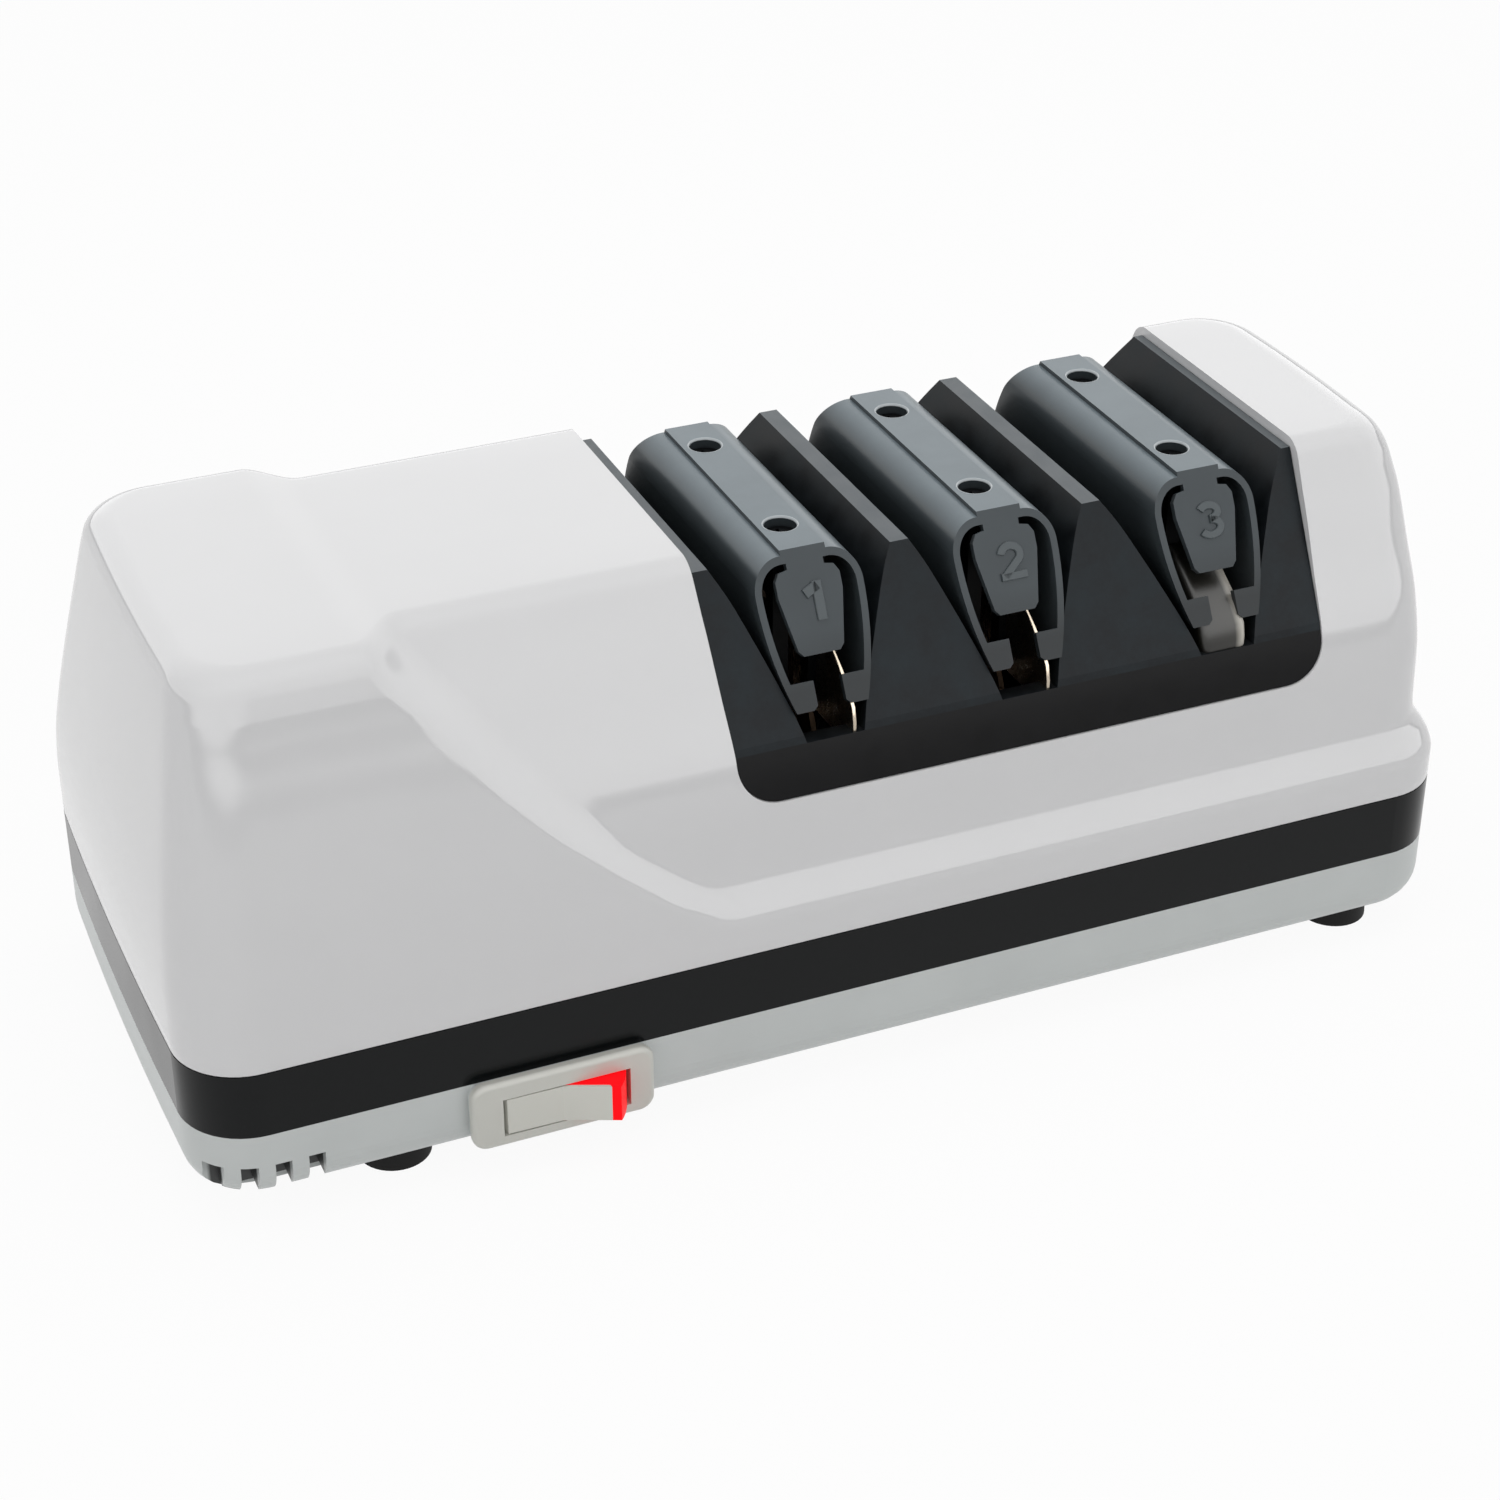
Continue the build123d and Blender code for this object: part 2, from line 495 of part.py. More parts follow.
edge_rows = []
for drop in (7.5, 6.4, 5.2, 3.9, 2.6, 1.3, 0.0):
    inset = EDGE_R - math.sqrt(EDGE_R ** 2 - drop ** 2)
    edge_rows.append((FOOT_H + EDGE_R - drop, HALF_Y - inset, HALF_Y - inset,
                      -HALF_X + inset, HALF_X - inset, CORNER_R - 0.9 * inset))
tray = lofted(edge_rows, ruled=True) + plain_section(0.0, FOOT_H + EDGE_R, BAND_Z0)
tray = tray + plain_section(BAND_SEAT, BAND_Z0, BAND_Z1)
hollow_inset = BAND_SEAT + BASE_T
floor_inset = hollow_inset + 4.5
hollow = plain_section(hollow_inset, 12.0, BAND_Z1 + 1)
hollow = hollow + lofted([(z, HALF_Y - inset, HALF_Y - inset, inset - HALF_X, HALF_X - inset, radius)
                          for z, inset, radius in ((FLOOR_Z, floor_inset, 5.0),
                                                   (12.0, hollow_inset, CORNER_R - hollow_inset))])
tray = tray - hollow


def bezel_outline(y, inset):
    """Rounded rectangle of the switch bezel on the plane at y."""
    width = SWITCH[1] - SWITCH[0] - 2 * inset
    height = SWITCH[3] - SWITCH[2] - 2 * inset
    with BuildSketch(Plane.XZ.offset(-y)) as outline:
        with Locations(((SWITCH[0] + SWITCH[1]) / 2, (SWITCH[2] + SWITCH[3]) / 2)):
            RectangleRounded(width, height, BEZEL_R - inset)
    return outline.sketch


boss = extrude(bezel_outline(BOSS_Y, BOSS_IN), amount=BOSS_DEPTH, dir=(0, 1, 0))
tray = tray + (boss & between(-HALF_X, HALF_X, -SIDE_Y, -HALF_Y + 14.0, 0, BAND_Z0))
for x, y in SCREW_POSTS:
    tray = tray + peg(x, y, FOOT_H, BAND_Z1, POST_R)
for x, y in FEET:
    tray = tray + peg(x, y, FOOT_H, 12.0, 4.0)
    tray = tray + (peg(x, y, FOOT_H, FLOOR_Z, FOOT_R) & plain_section(0.4, FOOT_H, FLOOR_Z))
for side in (-1, 1):
    edge = AXIS_Y + side * STATOR_HALF
    for a, b, top in ((edge, edge - side * 7.5, STATOR_Z0), (edge + side * 0.15, edge + side * 2.6, 22.0)):
        tray = tray + between(STATOR[0] + 1, STATOR[1] - 1, min(a, b), max(a, b), FLOOR_Z - 1, top)
tray = tray + between(*END_BEARING, AXIS_Y - 9, AXIS_Y + 9, FLOOR_Z - 1, AXIS_Z)
tray = tray + rod(*END_BEARING, 9.0)
tray = tray + peg(*LEVER_PIN[:2], FLOOR_Z - 1, LEVER_T[0], 4.5)
tray = tray + peg(*LEVER_PIN[:2], LEVER_T[0], LEVER_T[1] + 1.0, LEVER_PIN[2])
for side in (-1, 1):
    # stops that limit the lever's swing
    tray = tray + between(LEVER_X + side * 9 - 1, LEVER_X + side * 9 + 1, LEVER_PIN[1] - 6.0, LEVER_PIN[1],
                          FLOOR_Z - 1, LEVER_T[1] - 1.0)


def vent_cutter(x):
    """Upright notch that flares at the bottom, where the teeth end round."""
    half = VENT_W / 2
    slope = LOBE_R * (1 - math.sin(math.pi / 4))
    with BuildSketch(Plane.XZ.offset(SIDE_Y)) as notch:
        with BuildLine():
            for side in (-1, 1):
                Line((x, VENT_TOP), (x + side * half, VENT_TOP))
                Line((x + side * half, VENT_TOP), (x + side * half, LOBE_END + LOBE_R))
                ThreePointArc((x + side * half, LOBE_END + LOBE_R),
                              (x + side * (half + slope), LOBE_END + slope),
                              (x + side * (half + LOBE_R), LOBE_END))
                Line((x + side * (half + LOBE_R), LOBE_END), (x + side * (half + LOBE_R), 0))
                Line((x + side * (half + LOBE_R), 0), (x, 0))
        make_face()
    return extrude(notch.sketch, amount=OUTSIDE + EDGE_R - 0.1, dir=(0, 1, 0))


vent_cutters = [vent_cutter(x) for x in VENTS]
with BuildPart() as base:
    add(tray)
    for cutter in vent_cutters:
        add(cutter, mode=Mode.SUBTRACT)
    for x, y in SCREW_POSTS:
        add(peg(x, y, 0, SCREW_SEAT_Z, 3.1), mode=Mode.SUBTRACT)
        add(peg(x, y, SCREW_SEAT_Z - 1, BAND_Z1 + 1, SCREW_R + 0.15), mode=Mode.SUBTRACT)
    for x, y in FEET:
        add(peg(x, y, 0, 11.0, 1.35), mode=Mode.SUBTRACT)
    add(between(BODY[0] - FIT, BODY[1] + FIT, -SIDE_Y, -HALF_Y + 9.0, BODY[3] - FIT, BODY[4] + FIT),
        mode=Mode.SUBTRACT)
    add(between(COVER[0], COVER[1], COVER[2], COVER[3], 0, FOOT_H + COVER_T), mode=Mode.SUBTRACT)
    add(between(COVER[0] + COVER_LIP, COVER[1] - COVER_LIP, COVER[2] + COVER_LIP,
                COVER[3] - COVER_LIP, 0, 10), mode=Mode.SUBTRACT)
    add(rod(END_BEARING[0] - 1, END_BEARING[1] + 1, 6.0), mode=Mode.SUBTRACT)
    add(between(INLET[0] - 7, INLET[0] + 7, HALF_Y - 8.0, HALF_Y - hollow_inset, INLET[1] - 6.2, BAND_Z0),
        mode=Mode.SUBTRACT)
    add(Pos(INLET[0], HALF_Y, INLET[1]) * Rot(90, 0, 0) * Cylinder(INLET[2], 30, mode=Mode.PRIVATE),
        mode=Mode.SUBTRACT)
base.part.label = "base"
export_step(base.part, "parts/base.step")

band_outline = plain_section(0.0, BAND_Z0, BAND_Z1)
band_inside = plain_section(BAND_T, BAND_Z0 - 1, BAND_Z1 + 1)
with BuildPart() as trim_band:
    add(band_outline)
    add(band_inside, mode=Mode.SUBTRACT)
trim_band.part.label = "trim_band"
export_step(trim_band.part, "parts/trim_band.step")

# ---- feet and the screws that hold the case together ----------------------
with BuildPart() as feet:
    for x, y in FEET:
        with BuildSketch(Plane.XY) as tread:
            with Locations((x, y)):
                Circle(FOOT_R)
        extrude(amount=FOOT_H, taper=2.0)
        add(peg(x, y, 0, 1.9, 3.3), mode=Mode.SUBTRACT)
        add(peg(x, y, 0, 6, 1.6), mode=Mode.SUBTRACT)
feet.part.label = "feet"
export_step(feet.part, "parts/feet.step")

with BuildPart() as foot_screws:
    for x, y in FEET:
        add(peg(x, y, 0.7, 1.9, 2.8))
        add(peg(x, y, 1.9, 10.5, 1.3))
        add(between(x - 1.7, x + 1.7, y - 0.35, y + 0.35, 0, 1.3), mode=Mode.SUBTRACT)
        add(between(x - 0.35, x + 0.35, y - 1.7, y + 1.7, 0, 1.3), mode=Mode.SUBTRACT)
foot_screws.part.label = "foot_screws"
export_step(foot_screws.part, "parts/foot_screws.step")

with BuildPart() as housing_screws:
    for x, y in SCREW_POSTS:
        add(peg(x, y, SCREW_SEAT_Z - 2.2, SCREW_SEAT_Z, 2.9))
        add(peg(x, y, SCREW_SEAT_Z, SCREW_SEAT_Z + SCREW_LENGTH, SCREW_R))
        add(between(x - 1.8, x + 1.8, y - 0.4, y + 0.4, FOOT_H, SCREW_SEAT_Z - 1.2), mode=Mode.SUBTRACT)
        add(between(x - 0.4, x + 0.4, y - 1.8, y + 1.8, FOOT_H, SCREW_SEAT_Z - 1.2), mode=Mode.SUBTRACT)
housing_screws.part.label = "housing_screws"
export_step(housing_screws.part, "parts/housing_screws.step")

# ---- switch: bezel and body, rocker, red flag ------------------------------
ROCKER_Z = (9.4, 16.9)
WINDOW_HALF = 12.05
SWING = 12.0                    # rest position is this far from the middle, in degrees
# Rocker outline in its middle position, measured from the pivot: bend, nose, heel, belly.
ROCKER_BEND = (0.0, -4.1)
ROCKER_NOSE = (10.19, -6.11)
ROCKER_HEEL = (11.87, -0.56)
ROCKER_BELLY = ((5.0, 0.6), (2.2, 2.4))
# Red insert behind the front cap, seen when the switch is off.
FLAG = ((0.0, -3.6), (8.3, -5.2), (8.9, -6.5), (14.0, -6.5), (14.0, 0.0), (5.0, 0.3), (1.4, -1.5))
TRUNNION_R = 1.0

bezel_plate = extrude(bezel_outline(BOSS_Y, 0.0), amount=BOSS_Y - SWITCH_Y, dir=(0, -1, 0))
with BuildPart() as switch_body:
    add(bezel_plate)
    front_edges = switch_body.edges().filter_by_position(Axis.Y, SWITCH_Y - 0.01, SWITCH_Y + 0.01)
    fillet(front_edges, radius=1.1)
    add(between(BODY[0], BODY[1], BOSS_Y - 0.2, BODY[2], BODY[3], BODY[4]))
    add(between(PIVOT[0] - WINDOW_HALF, PIVOT[0] + WINDOW_HALF, -SIDE_Y, PIVOT[1] + 4.5,
                ROCKER_Z[0] - 0.25, ROCKER_Z[1] + 0.25), mode=Mode.SUBTRACT)
    add(peg(*PIVOT, ROCKER_Z[0] - 0.75, ROCKER_Z[1] + 0.75, TRUNNION_R + RUN_FIT), mode=Mode.SUBTRACT)
    for x in (PIVOT[0] - 8.0, PIVOT[0] + 8.0):
        add(between(x - 0.4, x + 0.4, BODY[2] - 1, BODY[2] + 4.2, 10.0, 15.0))
switch_body.part.label = "switch_body"
export_step(switch_body.part, "parts/switch_body.step")

rocker_turn = Pos(*PIVOT, 0) * Rot(0, 0, -SWING)
with BuildPart() as rocker_blank:
    with BuildSketch(Plane.XY.offset(ROCKER_Z[0])) as wedge:
        with BuildLine():
            reach = math.hypot(*ROCKER_NOSE)
            lean = (math.atan2(ROCKER_NOSE[1], ROCKER_NOSE[0])
                    + math.atan2(ROCKER_HEEL[1], ROCKER_HEEL[0])) / 2
            for side in (-1, 1):
                nose = (side * ROCKER_NOSE[0], ROCKER_NOSE[1])
                heel = (side * ROCKER_HEEL[0], ROCKER_HEEL[1])
                Line(ROCKER_BEND, nose)
                ThreePointArc(nose, (side * reach * math.cos(lean), reach * math.sin(lean)), heel)
                Polyline(heel, *[(side * u, v) for u, v in ROCKER_BELLY])
            Line((-ROCKER_BELLY[1][0], ROCKER_BELLY[1][1]), ROCKER_BELLY[1])
        make_face()
    extrude(amount=ROCKER_Z[1] - ROCKER_Z[0])
    add(peg(0, 0, ROCKER_Z[0] - 0.6, ROCKER_Z[1] + 0.6, TRUNNION_R))
with BuildPart() as flag_zone:
    with BuildSketch(Plane.XY.offset(ROCKER_Z[0] - 1)) as flag_outline:
        with BuildLine():
            Polyline(*FLAG, close=True)
        make_face()
    extrude(amount=ROCKER_Z[1] - ROCKER_Z[0] + 2)
rocker_shape = rocker_turn * rocker_blank.part
flag_shape = rocker_turn * (rocker_blank.part & flag_zone.part)
with BuildPart() as rocker:
    add(rocker_shape)
    add(flag_shape, mode=Mode.SUBTRACT)
rocker.part.label = "rocker"
export_step(rocker.part, "parts/rocker.step")
with BuildPart() as rocker_flag:
    add(flag_shape)
rocker_flag.part.label = "rocker_flag"
export_step(rocker_flag.part, "parts/rocker_flag.step")

# ---- drive line ------------------------------------------------------------
SHAFT = (-HALF_X + 9.0, HALF_X - 20.0)
PIN_OFFSET = 11.1
PIN_R = 1.0
PIN_LENGTH = 14.0
HUB_IN = 1.6
HUB_OUT = 12.4
HUB_R = 8.0
POCKET_R = 6.5
POCKET_END = 5.0
CONE_R = 10.0
CONE_OUT = 9.4
SKIRT = 6.5                     # rim width of the polishing disc in the last stage
SKIRT_T = 4.0


with BuildPart() as drive_shaft:
    add(rod(*SHAFT, SHAFT_R))
    for x in STAGES:
        for side in (-1, 1):
            add(peg(x + side * PIN_OFFSET, AXIS_Y, AXIS_Z - 10, AXIS_Z + 10, PIN_R), mode=Mode.SUBTRACT)
    chamfer(drive_shaft.edges().filter_by(GeomType.CIRCLE).group_by(Axis.X)[0], length=0.5)
    chamfer(drive_shaft.edges().filter_by(GeomType.CIRCLE).group_by(Axis.X)[-1], length=0.5)
drive_shaft.part.label = "drive_shaft"
export_step(drive_shaft.part, "parts/drive_shaft.step")

with BuildPart() as drive_pins:
    for x in STAGES:
        for side in (-1, 1):
            add(peg(x + side * PIN_OFFSET, AXIS_Y, AXIS_Z - PIN_LENGTH / 2, AXIS_Z + PIN_LENGTH / 2, PIN_R))
drive_pins.part.label = "drive_pins"
export_step(drive_pins.part, "parts/drive_pins.step")


def disc(x, side, rim_rel, thick, skirt=0.0):
    """Coned disc with its hub; rim_rel is the rim's distance from the stage centre.

    A skirt widens the rim of a polishing disc inward by that much.
    """
    outer = [(CONE_R, CONE_OUT), (DISC_R, rim_rel)]
    inner = [(DISC_R, rim_rel - thick), (CONE_R, CONE_OUT - thick)]
    if skirt:
        ring_r = DISC_R - SKIRT_T
        drop = (CONE_OUT - rim_rel) / (DISC_R - CONE_R)
        under = rim_rel - thick + drop * SKIRT_T
        inner = [(DISC_R, rim_rel - skirt), (ring_r, rim_rel - skirt), (ring_r, under), inner[1]]
    profile = ([(SHAFT_R + RUN_FIT, POCKET_END), (SHAFT_R + RUN_FIT, HUB_OUT), (HUB_R, HUB_OUT),
                (HUB_R, CONE_OUT)] + outer + inner
               + [(HUB_R, CONE_OUT - thick), (HUB_R, HUB_IN), (POCKET_R, HUB_IN), (POCKET_R, POCKET_END)])
    with BuildPart() as body:
        with BuildSketch(Plane(origin=(x, AXIS_Y, AXIS_Z), x_dir=(0, 0, 1), z_dir=(0, side, 0))) as half:
            with BuildLine():
                Polyline(*[(r, rel) for r, rel in profile], close=True)
            make_face()
        revolve(axis=Axis((x, AXIS_Y, AXIS_Z), (1, 0, 0)))
        slot = between(x + side * 11.2 - 1.2, x + side * 11.2 + 1.2, AXIS_Y - PIN_R - 0.05,
                       AXIS_Y + PIN_R + 0.05, AXIS_Z - 12, AXIS_Z + 12)
        add(slot, mode=Mode.SUBTRACT)
    return body


for number, x in enumerate(STAGES, 1):
    for side, hand in ((-1, "left"), (1, "right")):
        piece = disc(x, side, 4.2, 1.0, skirt=SKIRT if (number, hand) == (3, "left") else 0.0)
        piece.part.label = f"disc_{number}_{hand}"
        export_step(piece.part, f"parts/disc_{number}_{hand}.step")

COIL_R = 4.5                    # centre line of the little springs between the hubs
COIL_HALF = 4.5
COIL_TURNS = 4
COIL_STEPS = 10                 # straight steps per turn
for number, x in enumerate(STAGES, 1):
    turns = [index / COIL_STEPS for index in range(COIL_TURNS * COIL_STEPS + 1)]
    track = [(x - COIL_HALF + 2 * COIL_HALF * turn / COIL_TURNS,
              AXIS_Y + COIL_R * math.cos(2 * math.pi * turn),
              AXIS_Z + COIL_R * math.sin(2 * math.pi * turn)) for turn in turns]
    with BuildPart() as disc_spring:
        with BuildLine():
            wire = Polyline(*track)
        with BuildSketch(Plane(origin=wire @ 0, z_dir=wire % 0)):
            RegularPolygon(0.5, 6)
        sweep(transition=Transition.RIGHT)
    disc_spring.part.label = f"disc_spring_{number}"
    export_step(disc_spring.part, f"parts/disc_spring_{number}.step")

# ---- motor -----------------------------------------------------------------
ROTOR_R = 17.2
STATOR_BORE = 17.5
LIMB = (14.0, 24.0)             # lower limb that carries the coil, z range
COIL_WINDOW = (-22.0, 15.0, 30.0)
TIE_Y = 26.0                    # tie screws, distance from the axis
BRACKETS = ((STATOR[0] - 12.0, STATOR[0] - 9.0), (STATOR[1] + 5.0, STATOR[1] + 8.0))

with BuildPart() as stator_stack:
    add(between(*STATOR, AXIS_Y - STATOR_HALF, AXIS_Y + STATOR_HALF, STATOR_Z0, STATOR_Z0 + 60))
    chamfer(stator_stack.edges().filter_by(Axis.X), length=3.0)
    add(rod(STATOR[0] - 1, STATOR[1] + 1, STATOR_BORE), mode=Mode.SUBTRACT)
    add(between(STATOR[0] - 1, STATOR[1] + 1, COIL_WINDOW[0], COIL_WINDOW[1], LIMB[1], COIL_WINDOW[2]),
        mode=Mode.SUBTRACT)
    for side in (-1, 1):
        add(rod(STATOR[0] - 1, STATOR[1] + 1, 1.7, AXIS_Y + side * TIE_Y), mode=Mode.SUBTRACT)
stator_stack.part.label = "stator_stack"
export_step(stator_stack.part, "parts/stator_stack.step")

limb_x = (STATOR[0] - 0.1, STATOR[1] + 0.1)
with BuildPart() as coil_bobbin:
    add(between(limb_x[0] - 1.2, limb_x[1] + 1.2, COIL_WINDOW[0] + 0.1, COIL_WINDOW[1] - 0.1,
                LIMB[0] - 1.3, LIMB[1] + 1.3))
    for y in (COIL_WINDOW[0] + 0.1, COIL_WINDOW[1] - 1.3):
        add(between(limb_x[0] - 6.5, limb_x[1] + 6.5, y, y + 1.2, FLOOR_Z + 0.3, COIL_WINDOW[2] - 0.1))
    add(between(*limb_x, -30, 30, LIMB[0] - 0.1, LIMB[1] + 0.1), mode=Mode.SUBTRACT)
coil_bobbin.part.label = "coil_bobbin"
export_step(coil_bobbin.part, "parts/coil_bobbin.step")

with BuildPart() as coil_winding:
    add(between(limb_x[0] - 6.0, limb_x[1] + 6.0, COIL_WINDOW[0] + 1.3, COIL_WINDOW[1] - 1.3,
                LIMB[0] - 5.8, LIMB[1] + 5.4))
    fillet(coil_winding.edges().filter_by(Axis.Y), radius=3.0)
    add(between(limb_x[0] - 1.2, limb_x[1] + 1.2, -30, 30, LIMB[0] - 1.3, LIMB[1] + 1.3),
        mode=Mode.SUBTRACT)
coil_winding.part.label = "coil_winding"
export_step(coil_winding.part, "parts/coil_winding.step")

with BuildPart() as rotor:
    add(rod(STATOR[0] - 2, STATOR[1] + 2, ROTOR_R))
    add(rod(STATOR[0] - 4, STATOR[1] + 2, 6.0))
    add(rod(STATOR[0] - 5, STATOR[1] + 5, SHAFT_R), mode=Mode.SUBTRACT)
rotor.part.label = "rotor"
export_step(rotor.part, "parts/rotor.step")


def bracket(x0, x1, stack_x):
    """Bearing bracket: plate, bearing boss and two spacers down to the stack."""
    with BuildPart() as body:
        with BuildSketch(Plane.YZ.offset(x0)) as plate:
            with Locations((AXIS_Y, AXIS_Z)):
                SlotOverall(2 * TIE_Y + 10, 12)
                Circle(9.0)
        extrude(amount=x1 - x0)
        middle_x = (x0 + x1) / 2
        add(rod(middle_x - 3.5, middle_x + 3.5, 8.0))
        near = x1 if stack_x > x1 else x0
        for side in (-1, 1):
            add(rod(min(near, stack_x), max(near, stack_x), 4.0, AXIS_Y + side * TIE_Y))
            add(rod(x0 - 15, x1 + 15, 1.7, AXIS_Y + side * TIE_Y), mode=Mode.SUBTRACT)
        add(rod(middle_x - 5, middle_x + 5, 5.0), mode=Mode.SUBTRACT)
    return body


rear_bracket = bracket(*BRACKETS[0], STATOR[0])
rear_bracket.part.label = "rear_bracket"
export_step(rear_bracket.part, "parts/rear_bracket.step")
front_bracket = bracket(*BRACKETS[1], STATOR[1])
front_bracket.part.label = "front_bracket"
export_step(front_bracket.part, "parts/front_bracket.step")

with BuildPart() as motor_bushes:
    for x0, x1 in BRACKETS:
        middle_x = (x0 + x1) / 2
        add(rod(middle_x - 4.0, middle_x + 4.0, 5.0))
        add(rod(middle_x - 5.0, middle_x + 5.0, SHAFT_R + RUN_FIT), mode=Mode.SUBTRACT)
motor_bushes.part.label = "motor_bushes"
export_step(motor_bushes.part, "parts/motor_bushes.step")

with BuildPart() as motor_screws:
    for side in (-1, 1):
        y = AXIS_Y + side * TIE_Y
        add(rod(BRACKETS[0][0] - 2.2, BRACKETS[0][0], 3.2, y))
        add(rod(BRACKETS[0][0], BRACKETS[1][1] + 3.0, 1.65, y))
        add(rod(BRACKETS[1][1], BRACKETS[1][1] + 2.2, 3.0, y))
motor_screws.part.label = "motor_screws"
export_step(motor_screws.part, "parts/motor_screws.step")

FAN = (-HALF_X + 10.0, -HALF_X + 20.0)
FAN_R = 24.0
FAN_HUB_R = 6.0
BLADES = 8
with BuildPart() as fan:
    add(rod(*FAN, FAN_HUB_R))
    add(rod(FAN[1] - 1.6, FAN[1], FAN_R))
    blade = between(FAN[0] + 1, FAN[1] - 1, -0.6, 0.6, FAN_HUB_R - 1, FAN_R)
    for index in range(BLADES):
        turn = Rot(360 / BLADES * index, 0, 0)
        add(Pos(0, AXIS_Y, AXIS_Z) * turn * blade)
    add(rod(FAN[0] - 2, FAN[1] + 2, SHAFT_R), mode=Mode.SUBTRACT)
fan.part.label = "fan"
export_step(fan.part, "parts/fan.step")

with BuildPart() as end_bush:
    add(rod(END_BEARING[0] - 0.8, END_BEARING[1], 6.0))
    add(rod(END_BEARING[0] - 0.8, END_BEARING[0], 7.2))
    add(rod(END_BEARING[0] - 2, END_BEARING[1] + 2, SHAFT_R + RUN_FIT), mode=Mode.SUBTRACT)
end_bush.part.label = "end_bush"
export_step(end_bush.part, "parts/end_bush.step")

# ---- cord inlet, clean-out cover, dust magnet --------------------------------
inlet_axis = Pos(INLET[0], 0, INLET[1]) * Rot(90, 0, 0)
with BuildPart() as cord_grommet:
    add(inlet_axis * Pos(0, 0, -HALF_Y + 2.0) * Cylinder(INLET[2], 8.0, mode=Mode.PRIVATE))
    add(inlet_axis * Pos(0, 0, -HALF_Y - 0.8) * Cylinder(INLET_FLANGE, 1.6, mode=Mode.PRIVATE))
    add(inlet_axis * Pos(0, 0, -HALF_Y - COLLAR_LENGTH / 2)
        * Cylinder(COLLAR_R, COLLAR_LENGTH, mode=Mode.PRIVATE))
    add(inlet_axis * Pos(0, 0, -HALF_Y + hollow_inset + 0.8) * Cylinder(INLET_FLANGE, 1.6, mode=Mode.PRIVATE))
    add(inlet_axis * Pos(0, 0, -HALF_Y + 4.0) * Cylinder(CORD_BORE, 30.0, mode=Mode.PRIVATE),
        mode=Mode.SUBTRACT)
cord_grommet.part.label = "cord_grommet"
export_step(cord_grommet.part, "parts/cord_grommet.step")

lip = COVER_LIP + 0.2
with BuildPart() as clean_out_cover:
    add(between(COVER[0] + FIT, COVER[1] - FIT, COVER[2] + FIT, COVER[3] - FIT, FOOT_H, FOOT_H + COVER_T))
    add(between(COVER[0] + lip, COVER[1] - lip, COVER[2] + lip, COVER[3] - lip,
                FOOT_H + COVER_T, FLOOR_Z + 1.4))
    add(between(COVER[0] + lip + 1.6, COVER[1] - lip - 1.6, COVER[2] + lip + 1.6, COVER[3] - lip - 1.6,
                FOOT_H + COVER_T, FLOOR_Z + 2.0), mode=Mode.SUBTRACT)
    for x in (COVER[0] + 7.0, COVER[0] + 10.0, COVER[0] + 13.0):
        add(between(x - 0.6, x + 0.6, COVER[2] + 11.0, COVER[3] - 11.0, FOOT_H - 1, FOOT_H + 0.6),
            mode=Mode.SUBTRACT)
clean_out_cover.part.label = "clean_out_cover"
export_step(clean_out_cover.part, "parts/clean_out_cover.step")

with BuildPart() as dust_magnet:
    add(between(COVER[0] + 15.0, COVER[1] - 15.0, COVER[2] + 14.0, COVER[3] - 14.0,
                FOOT_H + COVER_T, FOOT_H + COVER_T + 4.0))
dust_magnet.part.label = "dust_magnet"
export_step(dust_magnet.part, "parts/dust_magnet.step")

# ---- dressing lever of the last stage ----------------------------------------
with BuildPart() as dressing_lever:
    x, y, pin_r = LEVER_PIN
    low, high = LEVER_T
    add(peg(x, y, low, high, 4.4))
    add(between(x - 3.0, x + 3.0, y, HALF_Y - 0.5, low + 0.5, high - 0.5))
    add(between(x - 11.0, x + 11.0, y - 11.0, y - 7.0, low + 1, high - 1))
    add(between(x - 3.0, x + 3.0, y - 8.0, y, low + 1, high - 1))
    for side in (-1, 1):
        arm = sorted((x + side * 7.6, x + side * 11.0))
        add(between(*arm, y - 17.0, y - 10.9, low + 1, high - 1))
    add(peg(x, y, low - 8, high + 4, pin_r + RUN_FIT), mode=Mode.SUBTRACT)
dressing_lever.part.label = "dressing_lever"
export_step(dressing_lever.part, "parts/dressing_lever.step")
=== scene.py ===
import math

import bmesh
import bpy
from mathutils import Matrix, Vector


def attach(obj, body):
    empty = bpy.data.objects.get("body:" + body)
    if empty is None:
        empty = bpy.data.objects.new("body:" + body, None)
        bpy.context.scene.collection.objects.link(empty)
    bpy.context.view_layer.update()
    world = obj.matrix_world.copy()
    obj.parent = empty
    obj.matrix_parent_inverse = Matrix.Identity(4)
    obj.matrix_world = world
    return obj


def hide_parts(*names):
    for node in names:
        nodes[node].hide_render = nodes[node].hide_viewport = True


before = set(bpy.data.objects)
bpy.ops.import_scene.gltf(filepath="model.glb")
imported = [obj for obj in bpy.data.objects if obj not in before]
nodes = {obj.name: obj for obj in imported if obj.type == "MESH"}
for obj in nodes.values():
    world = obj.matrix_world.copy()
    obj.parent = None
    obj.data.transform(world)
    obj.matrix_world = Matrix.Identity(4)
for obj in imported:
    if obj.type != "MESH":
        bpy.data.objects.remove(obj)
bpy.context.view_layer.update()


# ---- table, lamps and camera -----------------------------------------------
# A plain white sweep under three large soft lamps, in an evenly pale room.
# The camera looks down on the switch side from the left front corner.
def linear(hex_colour):
    """sRGB hex to the linear colour a shader socket takes."""
    channels = [int(hex_colour[i:i + 2], 16) / 255 for i in (1, 3, 5)]
    return [c / 12.92 if c <= 0.04045 else ((c + 0.055) / 1.055) ** 2.4 for c in channels] + [1.0]


